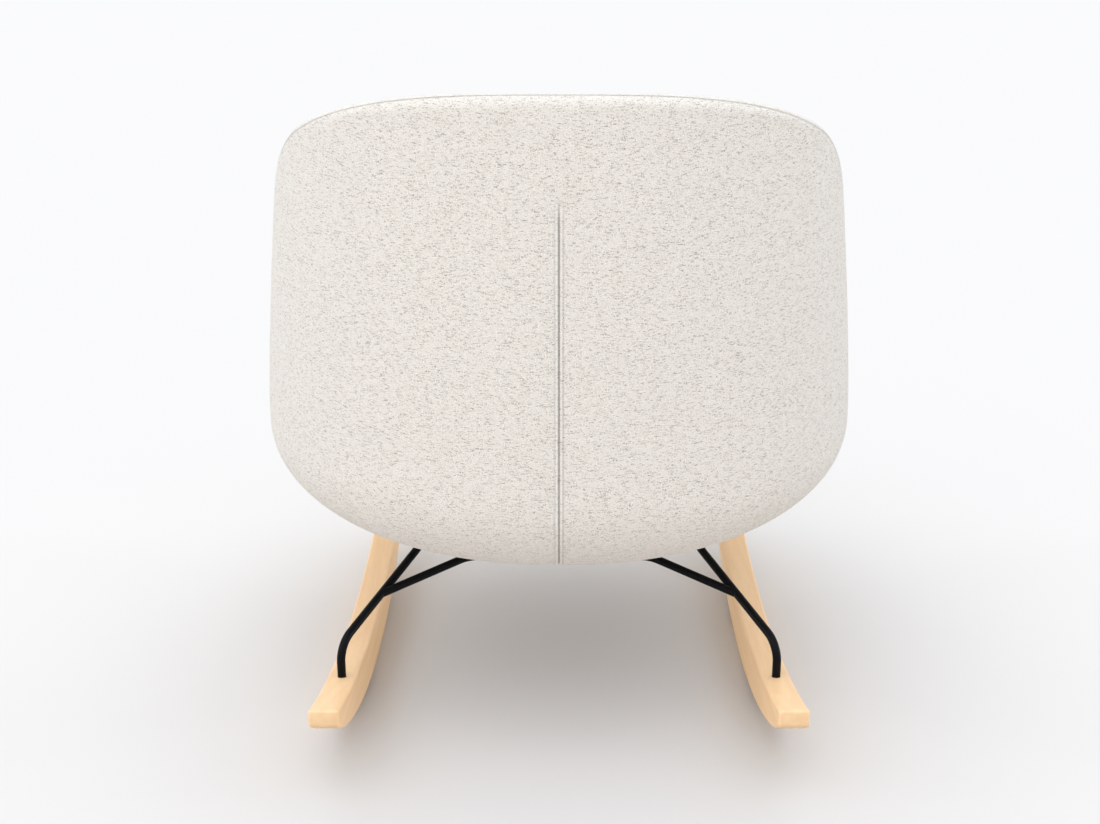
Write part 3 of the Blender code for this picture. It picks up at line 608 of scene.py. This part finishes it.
def puff(name, points, outward, held, wrap, look):
    # lets a sheet held along its seams swell as its filling presses on it; returns how far each point moved
    rows, columns = held.shape
    mesh = bpy.data.meshes.new(name)
    faces = gridFaces(rows, columns, wrap)
    normal = rowNormals(points, wrap)
    if np.sum(normal * outward) < 0:
        faces = [face[::-1] for face in faces]
        normal = -normal
    mesh.from_pydata(points.reshape(-1, 3).tolist(), [], faces)
    sheet = placed(name, mesh)
    group = sheet.vertex_groups.new(name="held")
    for index, weight in enumerate(held.ravel()):
        group.add([index], float(weight), "REPLACE")
    cloth = sheet.modifiers.new("puff", "CLOTH")
    cloth.collision_settings.use_collision = False
    settings = cloth.settings
    settings.quality = 5
    settings.mass = 0.3
    settings.tension_stiffness = look["stiffness"]
    settings.compression_stiffness = look["stiffness"]
    settings.shear_stiffness = look["stiffness"] / 2
    settings.bending_stiffness = look["bending"]
    settings.vertex_group_mass = "held"
    settings.use_pressure = True
    settings.uniform_pressure_force = look["pressure"]
    settings.effector_weights.gravity = 0.0
    for frameNumber in range(1, 21):
        scene.frame_set(frameNumber)
    shaped = sheet.evaluated_get(bpy.context.evaluated_depsgraph_get())
    moved = np.empty(rows * columns * 3)
    shaped.data.vertices.foreach_get("co", moved)
    moved = moved.reshape(rows, columns, 3) - points
    scene.frame_set(1)
    bpy.data.objects.remove(sheet)
    size = np.linalg.norm(moved, axis=2, keepdims=True)
    rise = np.sum(moved * normal, axis=2)
    mean, most = (round(float(v) * 1000, 1) for v in (rise.mean(), rise.max()))
    print(name, "swelled by", mean, "mm, at most", most)
    cap = np.asarray(look["cap"]).reshape(-1, 1, 1)
    return moved * (cap * np.tanh(size / cap) / np.maximum(size, 1e-9))


# outer cover, from under the bowl to the seam behind the rim

outerLook = {
    "finest": 0.0004,  # column width at the dart
    "widest": 0.0068,
    "growth": 0.13,
    "rimRow": 0.0012,  # row height at the rim
    "wallRow": 0.0075,
    "length": 0.95,  # about the cloth's length from under the bowl to the rim
    "skin": 0.0022,
    "seamRound": 0.0017,
    "wadding": 0.0065,
    "thinEdge": 0.05,  # the wadding thins out this far from the seam
    "dartTop": 0.532,
    "dartFull": 0.500,
    "dartDepth": 0.0022,
    "dartWidth": 0.0010,
    "stitchOffset": 0.0046,
    "stitchDepth": 0.0007,
    "stitchWidth": 0.0008,
    "stitchStart": 0.012,  # above the height where the dart has its full depth
    "stitchLift": 0.35,  # share of the thread's radius
    "lipOffset": 0.0025,
    "lipHeight": 0.0004,
    "lipWidth": 0.0009,
    "valley": 0.0006,
    "valleyWidth": 0.02,
    "stitchPaintedShade": (0.62, 0.3),  # painted shade in the stitch grooves, right and left of the dart
    # painted highlight on the raised lips beside the dart
    "lipPaintedHighlight": 0.75,
    "foldPaintedShade": [0.7, 0.9, 1.0, 1.0, 1.0],  # painted shade over the rows of the seam's fold
    "underside": 0.045,  # below this height the cloth lies flat under the bowl
    "flatShare": 0.12,  # the first part of the cloth, flat against the shell
    "simRows": 44,
    "simColumns": 120,
    "swell": {"pressure": 4.0, "stiffness": 60.0, "bending": 4.0, "cap": 0.0014},
}


def dartColumns(look):
    arc, place = [0.0], 0.0
    half = tub["halfWidth"] * math.pi
    while place < half:
        place += min(look["finest"] + look["growth"] * place, look["widest"])
        arc.append(place)
    arc = np.array(arc) * half / arc[-1]
    turn = arc / tub["halfWidth"]
    return np.concatenate([-turn[:0:-1], turn[:-1]])


def runLength(points):
    return np.concatenate([[0], np.cumsum(np.linalg.norm(np.diff(points, axis=0), axis=1))])


def upTheBack(height):  # length of cloth from under the bowl up the middle of the back
    fine = np.linspace(0, tub["backHeight"], 400)
    points = tubPoint(np.zeros(400), np.zeros(400), fine)
    return np.interp(height, fine, runLength(points))


def outerProfile(angle, look):
    seamEnd = np.maximum(seamTurn(angle) - look["seamRound"] / (tub["wall"] / 2), 0.002)
    base = rimHeight(angle) - tub["rimRound"]
    low = np.minimum(tub["bowlHeight"], base)
    turn = np.linspace(0, 1, 160)[:, None] * bowlTurn(0.0, low)[None, :]
    bowl = tub["bowlHeight"] * (1 - np.cos(turn) ** (2 / tub["bowlRound"]))
    wall = low + np.linspace(0, 1, 120)[1:, None] * (base - low)
    roll = np.linspace(0, 1, 24)[1:, None] * seamEnd
    rollDepth, rollHeight = rollPoint(roll)
    depth = np.vstack([np.zeros_like(bowl), np.zeros_like(wall), rollDepth])
    height = np.vstack([bowl, wall, base + rollHeight])
    over = np.vstack([np.zeros_like(bowl), np.zeros_like(wall), roll * 0.017])
    return depth, height, upTheBack(np.minimum(height, base)) + over


def arcRound(angle):
    fine = np.linspace(-math.pi, math.pi, 2001)
    length = runLength(np.stack(planOutline(fine)[:2], axis=1))
    return np.interp(angle, fine, length - length[1000])


def seamFold(rows, normal, radius):
    # the cloth turns in over a small round where two covers are sewn together
    tangent = rows[-1] - rows[-2]
    tangent /= np.linalg.norm(tangent, axis=1, keepdims=True)
    fold = []
    for turn in (25, 50, 75, 90):
        a = math.radians(turn)
        fold.append(rows[-1] - normal * radius * (1 - math.cos(a)) + tangent * radius * math.sin(a))
    fold.append(fold[-1] - normal * radius * 0.8)
    return fold


def clothRing(rows, angle, up, widest):
    # the cloth's coordinates along each row: round the tub and up it
    spread = np.hypot(rows[:, :, 0], rows[:, :, 1] - tub["centreY"]) / planOutline(angle)[2]
    around = arcRound(np.append(angle, math.pi))
    shares = np.minimum(spread, widest)
    return [np.stack([around * wrapped(s), wrapped(u)], axis=1) for s, u in zip(shares, up)]


def carryOn(cloths, last, count, step):
    # the coordinates of hidden rows go on from the last one that shows
    for number in range(count):
        cloths.append((last, last + np.array([0.0, step])))
        last = cloths[-1][1]
    return last


def dartFade(height, look):
    return eased((look["dartTop"] - height) / (look["dartTop"] - look["dartFull"]))


def simSheet(profile, look, start):
    # a coarse even sheet for the cloth simulation, held along both edges
    angle = turnsRound(look["simColumns"])
    even = np.linspace(start, 1, look["simRows"])
    rows, tall = spacedRows(*profile(angle, look), angle, even)[:2]
    held = np.zeros(tall.shape)
    held[:3] = 1.0
    held[-1:] = 1.0
    return rows, tall, held


def makeOuter(look):
    angle = dartColumns(look)
    spacing = easedSpacing(look["length"], look["rimRow"], look["wallRow"], look["growth"])
    rows, tall, up, run = spacedRows(*outerProfile(angle, look), angle, spacing)
    middle = len(angle) // 2

    # swelling of the stretched cover over its wadding
    simRows, simTall, held = simSheet(outerProfile, look, look["flatShare"])
    simMiddle = look["simColumns"] // 2
    held[:, simMiddle] = np.maximum(held[:, simMiddle], dartFade(simTall[:, simMiddle], look))
    away = simRows - np.array([0.0, tub["centreY"], 0.5])
    moved = puff("outer_cover_sim", simRows, away, held, True, look["swell"])
    columnsAt = (angle + math.pi) / (2 * math.pi) * look["simColumns"]
    rowsAt = np.clip((spacing - look["flatShare"]) / (1 - look["flatShare"]), 0, 1) * (look["simRows"] - 1)
    rows = rows + smoothUp(moved, rowsAt, columnsAt, True)

    # dart down the middle of the back, with a row of stitches on each side
    normal = rowNormals(rows)
    if normal[len(rows) // 2, middle][1] < 0:
        normal = -normal
    side = rows[:, :, 0]
    line = np.exp(-(side / look["dartWidth"]) ** 2)
    lips = np.exp(-((np.abs(side) - look["lipOffset"]) / look["lipWidth"]) ** 2)
    stitched = np.exp(-((np.abs(side) - look["stitchOffset"]) / look["stitchWidth"]) ** 2)
    dent = look["dartDepth"] * line - look["lipHeight"] * lips + look["stitchDepth"] * stitched
    dent = dent + look["valley"] * np.exp(-(side / look["valleyWidth"]) ** 2)
    fade = np.where(np.cos(angle)[None, :] > 0.5, dartFade(tall, look), 0.0)
    rows = rows - normal * (dent * fade)[:, :, None]
    stitchShadeAmount = np.where(side < 0, *look["stitchPaintedShade"])  # painted shade in the stitch grooves, darker on the right side, where the seam allowance lies
    # painted shading: shade in the dart and stitch grooves, a highlight on the raised lips
    paintedShading = fade * (np.maximum(line, stitchShadeAmount * stitched) - look["lipPaintedHighlight"] * lips * (1 - line))

    # seam allowance and the side against the shell
    normal[0] = np.array([0, -math.sin(tub["lean"]), -math.cos(tub["lean"])])
    fold = seamFold(rows, normal[-1], look["seamRound"])
    inner = []
    for i in np.linspace(len(rows) - 2, 6, 20).astype(int):
        clear = np.clip((run[-1] - run[i]) / look["thinEdge"], 0, 1)[:, None]
        inner.append(rows[i] - normal[i] * (look["skin"] + (look["wadding"] - look["skin"]) * clear))

    # under the bowl the cloth's coordinates are flat
    ring = clothRing(rows, angle, up, 1.0)
    flat = [wrapped(row[:, :2]) for row in rows]
    cloths = []
    for i in range(1, len(rows) - 1):
        under = tall[i + 1].mean() < look["underside"]
        cloths.append((flat[i], flat[i + 1]) if under else (ring[i], ring[i + 1]))
    last = carryOn(cloths, ring[-1], len(fold + inner), 0.0015)
    allRows = list(rows[1:]) + fold + inner
    under = rows[0, 0]
    poles = [(0, under, flat[0]), (len(allRows) - 1, under - normal[0, 0] * look["wadding"], last)]
    # painted shade on the last two rows before the seam
    paintedShading[-2:] = np.maximum(paintedShading[-2:], [[0.12], [0.4]])
    paintedShadings = list(paintedShading[1:]) + look["foldPaintedShade"] + [0.0] * len(inner)
    outer = clothMesh("outer_cover", allRows, paintedShadings, cloths, poles, False, clothFinish)
    return outer, rows, normal, tall, angle


outerCover, outerRows, outerNormals, outerTall, outerAngle = makeOuter(outerLook)
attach(outerCover, "root")
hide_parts("back_cover", "back_wadding")
print("outer cover made,", len(outerCover.data.polygons), "faces")


# inner padding of the walls, from the seam over the rim and down to the crease

innerLook = {
    "columns": 340,
    "rimRow": 0.0012,
    "wallRow": 0.0070,
    "growth": 0.10,
    "length": 0.48,  # about the cloth's length up the back
    "footGap": 0.0004,
    "seamRound": 0.0017,
    "creaseRound": 0.006,
    "shellFace": 0.0150,
    "underSkin": 0.0050,
    "lap": 0.009,  # of the skin below the rim, over the shell's edge
    # painted shade over the rows of the seam's fold
    "foldPaintedShade": [0.3, 0.7, 1.0, 1.0, 1.0],
    "rimRun": 0.12,  # nearer to the seam than this the swelling is kept small
    "simRows": 34,
    "simColumns": 120,
    "swell": {"pressure": 4.0, "stiffness": 700.0, "bending": 40.0, "cap": 0.006, "rimCap": 0.0012},
}


def innerProfile(angle, look):
    base = rimHeight(angle) - tub["rimRound"]
    start = seamTurn(angle) + look["seamRound"] / (tub["wall"] / 2)
    rollDepth, rollHeight = rollPoint(math.pi + np.linspace(0, 1, 60)[:, None] * (start - math.pi))
    foot = tub["seatEdge"] + look["footGap"]
    top = foot + look["creaseRound"]
    turn = np.linspace(math.pi / 2, 0, 14)[:, None]
    footDepth = tub["wall"] - look["creaseRound"] * (1 - np.cos(turn))
    footHeight = foot + look["creaseRound"] * (1 - np.sin(turn))
    face = top + np.linspace(0, 1, 140)[1:-1, None] * (base - top)
    depth = np.vstack([footDepth + 0 * base, np.full_like(face, tub["wall"]), rollDepth])
    height = np.vstack([footHeight + 0 * base, face, base + rollHeight])
    return depth, height, height


def makeInner(look):
    # rows run up from the crease and over the rim to the seam
    angle = turnsRound(look["columns"])
    spacing = easedSpacing(look["length"], look["rimRow"], look["wallRow"], look["growth"])
    rows, run = spacedRows(*innerProfile(angle, look), angle, spacing)[::3]
    simRows, held = simSheet(innerProfile, look, 0.0)[::2]
    fromSeam = np.linspace(look["length"], 0, look["simRows"])
    cap, rimCap = look["swell"]["cap"], look["swell"]["rimCap"]
    limit = rimCap + (cap - rimCap) * np.clip(fromSeam / look["rimRun"] - 0.4, 0, 1)
    swell = {**look["swell"], "cap": limit}
    toSitter = np.array([0.0, tub["centreY"], 0.5]) - simRows
    moved = puff("inner_padding_sim", simRows, toSitter, held, True, swell)
    columnsAt = (angle + math.pi) / (2 * math.pi) * look["simColumns"]
    rows = rows + smoothUp(moved, spacing * (look["simRows"] - 1), columnsAt, True)
    normal = rowNormals(rows)
    if normal[-1, look["columns"] // 2][2] < 0:
        normal = -normal

    # tuck under the seam, then the hidden side down to the foot of the wall
    hidden = seamFold(rows, normal[-1], look["seamRound"])
    rim = rimHeight(angle)
    step = rim - tub["rimRound"] - look["lap"]
    for share in (0.85, 0.5, 0.2):
        skinDepth, skinHeight = rollPoint(seamTurn(angle) * share, look["underSkin"])
        hidden.append(tubPoint(angle, skinDepth, rim - tub["rimRound"] + skinHeight))
    hidden.append(tubPoint(angle, look["underSkin"], step))
    foot = tub["seatEdge"] + look["footGap"]
    for share in (1.0, 0.75, 0.5, 0.25, 0.0):
        hidden.append(tubPoint(angle, look["shellFace"], foot + share * (step - foot)))

    ring = clothRing(rows, angle, rim + run - run[-1], np.inf)
    cloths = list(zip(ring, ring[1:]))
    carryOn(cloths, ring[-1], len(hidden), 0.002)
    cloths.append((ring[0] - np.array([0.0, 0.015]), ring[0]))
    # painted shade in the crease at the foot of the wall, then over the seam's fold
    paintedShadings = [0.5, 0.2] + [0.0] * (len(rows) - 2) + look["foldPaintedShade"] + [0.0] * (len(hidden) - 5)
    return clothMesh("inner_padding", list(rows) + hidden, paintedShadings, cloths, [], True, clothFinish)


innerPadding = makeInner(innerLook)
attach(innerPadding, "root")
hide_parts("inside_cover", "back_foam", "left_arm_foam", "right_arm_foam", "front_edge_foam")
print("inner padding made,", len(innerPadding.data.polygons), "faces")


# seat pad, crowned, filling the bowl

seatLook = {
    "cells": 104,
    "simCells": 44,
    "edgeDepth": 0.031,
    "edgeDrop": 0.0004,
    "bottomDepth": 0.0145,
    "bottomEdge": 0.117,
    "swell": {"pressure": 5.0, "stiffness": 25.0, "bending": 1.0, "cap": 0.009},
}


def seatGrid(cells):
    # a square grid eased into a round one, as angle and share of the radius
    line = np.linspace(-1, 1, cells + 1)
    s, t = np.meshgrid(line, line)
    x, y = s * np.sqrt(1 - t * t / 2), t * np.sqrt(1 - s * s / 2)
    return np.arctan2(x, y), np.clip(np.hypot(x, y), 0, 1)


def seatTop(angle, share, look):
    x, y, distance = planOutline(angle)
    edge = reach(look["edgeDepth"], np.full_like(angle, tub["seatEdge"]), distance) * share
    height = tub["seatEdge"] - look["edgeDrop"] + tub["seatCrown"] * (1 - share ** 3)
    return toWorld(x * edge, y * edge, height)


def makeSeat(look):
    cells = look["cells"]
    angle, share = seatGrid(cells)
    top = seatTop(angle, share, look)
    simAngle, simShare = seatGrid(look["simCells"])
    held = np.clip((simShare - 0.93) / 0.05, 0, 1)
    up = np.array([0.0, 0.0, 1.0])
    moved = puff("seat_pad_sim", seatTop(simAngle, simShare, look), up, held, False, look["swell"])
    at = np.linspace(0, look["simCells"], cells + 1)
    top = top + smoothUp(moved, at, at, False)

    turn = share * bowlTurn(look["bottomDepth"], look["bottomEdge"])
    under = tub["bowlHeight"] - look["bottomDepth"]
    height = look["bottomDepth"] + under * (1 - np.cos(turn) ** (2 / tub["bowlRound"]))
    bottom = tubPoint(angle, look["bottomDepth"], height)

    n = cells + 1
    points = np.vstack([top.reshape(-1, 3), bottom.reshape(-1, 3)]).tolist()
    faces = gridFaces(n, n, False)
    faces += [tuple(n * n + v for v in face[::-1]) for face in faces]
    ring = list(range(cells)) + [k * n + cells for k in range(cells)]
    ring += [cells * n + k for k in range(cells, 0, -1)] + [k * n for k in range(cells, 0, -1)]
    for a, b in zip(ring, ring[1:] + ring[:1]):
        faces.append((a, n * n + a, n * n + b, b))
    mesh = bpy.data.meshes.new("seat_pad")
    mesh.from_pydata(points, [], faces)
    layer = mesh.uv_layers.new(name="cloth")
    for loop in mesh.loops:
        place = mesh.vertices[loop.vertex_index].co
        layer.data[loop.index].uv = (place.x, place.y + place.z * 0.3)
    faceOutward(mesh)
    mesh.materials.append(clothFinish)
    return placed("seat_pad", mesh)


seatPad = makeSeat(seatLook)
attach(seatPad, "root")
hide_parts("seat_cover", "seat_foam")
print("seat pad made,", len(seatPad.data.polygons), "faces")


# node trees that sweep or repeat a shape along a path

def newTree(name, sizes):
    tree = bpy.data.node_groups.new(name, "GeometryNodeTree")
    tree.interface.new_socket("Geometry", in_out="INPUT", socket_type="NodeSocketGeometry")
    for label, value in sizes.items():
        kind = "NodeSocketInt" if isinstance(value, int) else "NodeSocketFloat"
        tree.interface.new_socket(label, in_out="INPUT", socket_type=kind)
    tree.interface.new_socket("Finish", in_out="INPUT", socket_type="NodeSocketMaterial")
    tree.interface.new_socket("Geometry", in_out="OUTPUT", socket_type="NodeSocketGeometry")
    return tree, tree.nodes.new("NodeGroupInput").outputs


def closeTree(tree, geometry, finish):
    whole = addNode(tree, "GeometryNodeRealizeInstances", {0: geometry}).outputs[0]
    dressed = addNode(tree, "GeometryNodeSetMaterial", {"Geometry": whole, "Material": finish}).outputs[0]
    addNode(tree, "NodeGroupOutput", {0: dressed})


def grow(name, tree, points, sizes, finish):
    # runs a tree on a path and keeps the result as a plain mesh
    edges = [(i, i + 1) for i in range(len(points) - 1)]
    mesh = bpy.data.meshes.new(name + "_path")
    mesh.from_pydata([tuple(p) for p in points], edges, [])
    path = placed(name + "_path", mesh)
    modifier = path.modifiers.new("grow", "NODES")
    modifier.node_group = tree
    wanted = {**sizes, "Finish": finish}
    for item in tree.interface.items_tree:
        if item.in_out == "INPUT" and item.name in wanted:
            modifier[item.identifier] = wanted[item.name]
    shaped = path.evaluated_get(bpy.context.evaluated_depsgraph_get())
    made = bpy.data.meshes.new_from_object(shaped)
    made.name = name
    path.modifiers.remove(modifier)
    bpy.data.objects.remove(path)
    return placed(name, made)


rodLook = {"Rod Radius": 0.0053, "Bend Radius": 0.032, "Bend Steps": 14, "Sides": 28}


def rodTree():
    tree, given = newTree("bent_rod", rodLook)
    path = addNode(tree, "GeometryNodeMeshToCurve", {0: given["Geometry"]}).outputs[0]
    bending = {"Curve": path, "Radius": given["Bend Radius"], "Count": given["Bend Steps"]}
    bends = addNode(tree, "GeometryNodeFilletCurve", bending, mode="POLY")
    size = {"Resolution": given["Sides"], "Radius": given["Rod Radius"]}
    circle = addNode(tree, "GeometryNodeCurvePrimitiveCircle", size, mode="RADIUS")
    sweep = {"Curve": bends.outputs[0], "Profile Curve": circle.outputs[0], "Fill Caps": True}
    swept = addNode(tree, "GeometryNodeCurveToMesh", sweep).outputs[0]
    merge = {"Geometry": swept, "Distance": 0.00001}
    joined = addNode(tree, "GeometryNodeMergeByDistance", merge).outputs[0]
    rounded = addNode(tree, "GeometryNodeSetShadeSmooth", {"Geometry": joined}).outputs[0]
    closeTree(tree, rounded, given["Finish"])
    return tree


frameSize = {
    "footX": 0.270,
    "footRearY": 0.2445,
    "footFrontY": -0.250,
    "footRise": 0.044,
    "socketDepth": 0.0235,
    "runX": 0.187,
    "runRearY": 0.072,
    "runFrontY": -0.160,
    "runDrop": 0.0179,  # centre of the rod below the tub at the mounts
    "mountX": 0.164,
    "mountRearY": 0.030,
    "mountFrontY": -0.120,
    "braceX": 0.120,
    "braceRearY": 0.090,
    "braceFrontY": -0.150,
    "braceDrop": 0.016,
    "braceBend": 0.045,
}

rocker = {
    "x": 0.270,
    "width": 0.036,
    "length": 0.768,
    "underRadius": 0.850,
    "topRadius": 1.380,
    "midHeight": 0.058,
    "leastHeight": 0.024,
    "blend": 0.003,
    "toeStart": 0.335,  # from here the underside turns up to the nose
    "toeCurve": 2.9,
    "edge": 0.0034,
    "restLength": 0.060,
    "restY": 0.012,
    "stations": 110,
    "edgeSteps": 6,
    "socketRadius": 0.0054,
    "socketDepth": 0.024,
    "boltHole": 0.0034,
    "counterbore": 0.0065,
    "counterboreDepth": 0.010,
}


def rockerBottom(y):
    drop = math.sqrt(rocker["underRadius"] ** 2 - (rocker["restLength"] / 2) ** 2)
    return max(0.0, drop - math.sqrt(rocker["underRadius"] ** 2 - (y - rocker["restY"]) ** 2))


def rockerUnder(y):
    return rockerBottom(y) + rocker["toeCurve"] * max(0.0, abs(y) - rocker["toeStart"]) ** 2


def rockerTop(y):
    arc = rocker["midHeight"] + rocker["topRadius"] - math.sqrt(rocker["topRadius"] ** 2 - y * y)
    least = rockerBottom(y) + rocker["leastHeight"]
    return (arc + least + math.hypot(arc - least, rocker["blend"])) / 2


def underside(x, y):
    z = tub["baseZ"]
    cos, sin = math.cos(tub["lean"]), math.sin(tub["lean"])
    for step in range(12):  # settles on the leaning bowl
        along = (y - tub["centreY"]) * cos - (z - tub["baseZ"]) * sin
        power = tub["roundRear"] if along > 0 else tub["roundFront"]
        depth = tub["rearDepth"] if along > 0 else tub["frontDepth"]
        share = abs(x / tub["halfWidth"]) ** power + abs(along / depth) ** power
        lift = math.sin(math.acos(share ** (tub["bowlRound"] / 2 / power))) ** (2 / tub["bowlRound"])
        z = tub["baseZ"] + tub["bowlHeight"] * (1 - lift) * cos - along * sin
    return z


def runHeight(y):
    rearZ = underside(frameSize["mountX"], frameSize["mountRearY"]) - frameSize["runDrop"]
    frontZ = underside(frameSize["mountX"], frameSize["mountFrontY"]) - frameSize["runDrop"]
    slope = (frontZ - rearZ) / (frameSize["mountFrontY"] - frameSize["mountRearY"])
    return rearZ + slope * (y - frameSize["mountRearY"])


def sideCorners(side):
    corners = []
    for end in ("Rear", "Front"):
        y, runY = frameSize["foot" + end + "Y"], frameSize["run" + end + "Y"]
        top = rockerTop(y)
        leg = [
            Vector((side * frameSize["footX"], y, top - frameSize["socketDepth"])),
            Vector((side * frameSize["footX"], y, top + frameSize["footRise"])),
            Vector((side * frameSize["runX"], runY, runHeight(runY))),
        ]
        corners.append(leg)
    return corners[0] + corners[1][::-1]


def braceCorners(y, low, high):
    ends, bends = [], []
    for side in (1, -1):
        corners = sideCorners(side)
        ends.append((corners[low] + corners[high]) / 2)
        bends.append(Vector((side * frameSize["braceX"], y, underside(0, y) - frameSize["braceDrop"])))
    return [ends[0], bends[0], bends[1], ends[1]]


def makeRods():
    tree = rodTree()
    sideBend, braceBend = rodLook["Bend Radius"], frameSize["braceBend"]
    plans = [
        ("left_frame_rod", sideCorners(1), sideBend, "left_side_rod"),
        ("right_frame_rod", sideCorners(-1), sideBend, "right_side_rod"),
        ("rear_cross_rod", braceCorners(frameSize["braceRearY"], 1, 2), braceBend, "rear_brace"),
        ("front_cross_rod", braceCorners(frameSize["braceFrontY"], 4, 3), braceBend, "front_brace"),
    ]
    for name, corners, bend, node in plans:
        rod = grow(name, tree, corners, {**rodLook, "Bend Radius": bend}, coatFinish)
        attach(rod, "root")
        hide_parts(node)
        print(name, "swept,", len(rod.data.polygons), "faces")


makeRods()


# rockers

def rockerSection(y, inset, x):
    half = rocker["width"] / 2 - inset
    low, high = rockerUnder(y) + inset, rockerTop(y) - inset
    edge = max(rocker["edge"] - inset * 0.6, 0.001)
    section = []
    for right, up, start in ((1, 1, 0), (-1, 1, 90), (-1, -1, 180), (1, -1, 270)):
        cx = x + right * (half - edge)
        cz = high - edge if up > 0 else low + edge
        for step in range(rocker["edgeSteps"] + 1):
            a = math.radians(start + 90 * step / rocker["edgeSteps"])
            section.append((cx + edge * math.cos(a), y, cz + edge * math.sin(a)))
    return section


def drilled(piece, cutters):
    for place, radius, low, high, sides in cutters:
        mesh = bpy.data.meshes.new("hole")
        work = bmesh.new()
        size = {"radius1": radius, "radius2": radius, "depth": high - low}
        bmesh.ops.create_cone(work, cap_ends=True, segments=sides, **size)
        bmesh.ops.translate(work, verts=work.verts, vec=(place[0], place[1], (low + high) / 2))
        work.to_mesh(mesh)
        work.free()
        hole = placed("hole", mesh)
        cut = piece.modifiers.new("hole", "BOOLEAN")
        cut.operation = "DIFFERENCE"
        cut.solver = "EXACT"
        cut.object = hole
        shaped = piece.evaluated_get(bpy.context.evaluated_depsgraph_get())
        made = bpy.data.meshes.new_from_object(shaped)
        piece.modifiers.remove(cut)
        piece.data = made
        bpy.data.objects.remove(hole)


def makeRocker(name, x):
    half, edge = rocker["length"] / 2, rocker["edge"]
    turns = [math.radians(a) for a in (90, 65, 40, 18)]
    nose = [(half - edge * (1 - math.sin(a)), edge * (1 - math.cos(a))) for a in turns]
    stations = [(-y, inset) for y, inset in nose]
    stations += [(y, 0.0) for y in np.linspace(-half + edge, half - edge, rocker["stations"])]
    stations += nose[::-1]
    sections = [rockerSection(y, inset, x) for y, inset in stations]
    count = len(sections[0])
    points = [p for section in sections for p in section]
    faces = [tuple(range(count)), tuple(range(len(points) - count, len(points)))]
    faces += gridFaces(len(sections), count, True)
    mesh = bpy.data.meshes.new(name)
    mesh.from_pydata(points, [], faces)
    faceOutward(mesh)
    mesh.materials.append(woodFinish)
    piece = placed(name, mesh)
    holes = []
    for y in (frameSize["footRearY"], frameSize["footFrontY"]):
        top, low = rockerTop(y), rockerBottom(y)
        holes.append(((x, y), rocker["socketRadius"], top - rocker["socketDepth"], top + 0.02, 32))
        holes.append(((x, y), rocker["boltHole"], -0.01, top - rocker["socketDepth"] + 0.001, 24))
        holes.append(((x, y), rocker["counterbore"], -0.01, low + rocker["counterboreDepth"], 32))
    drilled(piece, holes)
    piece.data.shade_smooth()
    piece.data.set_sharp_from_angle(angle=math.radians(35))
    return piece


for side, sign in (("left", 1), ("right", -1)):
    runner = makeRocker(side + "_runner", sign * rocker["x"])
    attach(runner, "root")
    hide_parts(side + "_rocker")
    print(runner.name, "made,", len(runner.data.polygons), "faces")


# topstitching beside the dart

stitchLook = {"Stitch Length": 0.0031, "Stitch Pitch": 0.0042, "Thread Radius": 0.00042, "Sides": 6}


def stitchTree():
    tree, given = newTree("stitch_row", stitchLook)
    path = addNode(tree, "GeometryNodeMeshToCurve", {0: given["Geometry"]}).outputs[0]
    spacing = {"Curve": path, "Length": given["Stitch Pitch"]}
    spaced = addNode(tree, "GeometryNodeResampleCurve", spacing, mode="LENGTH")
    ball = addNode(tree, "GeometryNodeMeshUVSphere", {"Segments": given["Sides"], "Rings": 5})
    halfLength = calc(tree, "MULTIPLY", given["Stitch Length"], 0.5)
    sides = {0: given["Thread Radius"], 1: given["Thread Radius"], 2: halfLength}
    size = addNode(tree, "ShaderNodeCombineXYZ", sides).outputs[0]
    stitch = addNode(tree, "GeometryNodeTransform", {"Geometry": ball.outputs[0], "Scale": size}).outputs[0]
    soft = addNode(tree, "GeometryNodeSetShadeSmooth", {"Geometry": stitch}).outputs[0]
    tangent = addNode(tree, "GeometryNodeInputTangent").outputs[0]
    turned = addNode(tree, "FunctionNodeAlignRotationToVector", {"Vector": tangent}, axis="Z").outputs[0]
    sewing = {"Points": spaced.outputs[0], "Instance": soft, "Rotation": turned}
    sewn = addNode(tree, "GeometryNodeInstanceOnPoints", sewing).outputs[0]
    closeTree(tree, sewn, given["Finish"])
    return tree


def stitchPath(offset):
    # down the back at a set distance from the dart, just proud of the cloth
    points = []
    middle = len(outerAngle) // 2
    for i in range(len(outerRows) - 1, 8, -1):
        if outerTall[i, middle] > outerLook["dartFull"] + outerLook["stitchStart"]:
            continue
        row = outerRows[i, middle - 30:middle + 31]
        order = np.argsort(row[:, 0])
        point = [np.interp(offset, row[order, 0], row[order, axis]) for axis in range(3)]
        lift = stitchLook["Thread Radius"] * outerLook["stitchLift"]
        points.append(Vector(point) + Vector(outerNormals[i, middle]) * lift)
    return points


def makeStitches():
    tree = stitchTree()
    for name, side in (("dart_stitches_left", 1), ("dart_stitches_right", -1)):
        points = stitchPath(side * outerLook["stitchOffset"])
        row = grow(name, tree, points, stitchLook, threadFinish)
        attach(row, "root")
        print(name, "sewn,", len(row.data.polygons), "faces")


makeStitches()


# solids that stay as they are

keptFinish = {
    "moulded_shell": shellFinish,
    "mount_tab": coatFinish,
    "spacer": rubberFinish,
    "seat_bolt": zincFinish,
    "rocker_bolt": zincFinish,
    "t_nut": zincFinish,
}

for name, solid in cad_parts.items():
    for ending, finish in keptFinish.items():
        if name.endswith(ending) and not solid.hide_render:
            for place in solid.material_slots:
                place.material = finish

bpy.context.view_layer.update()
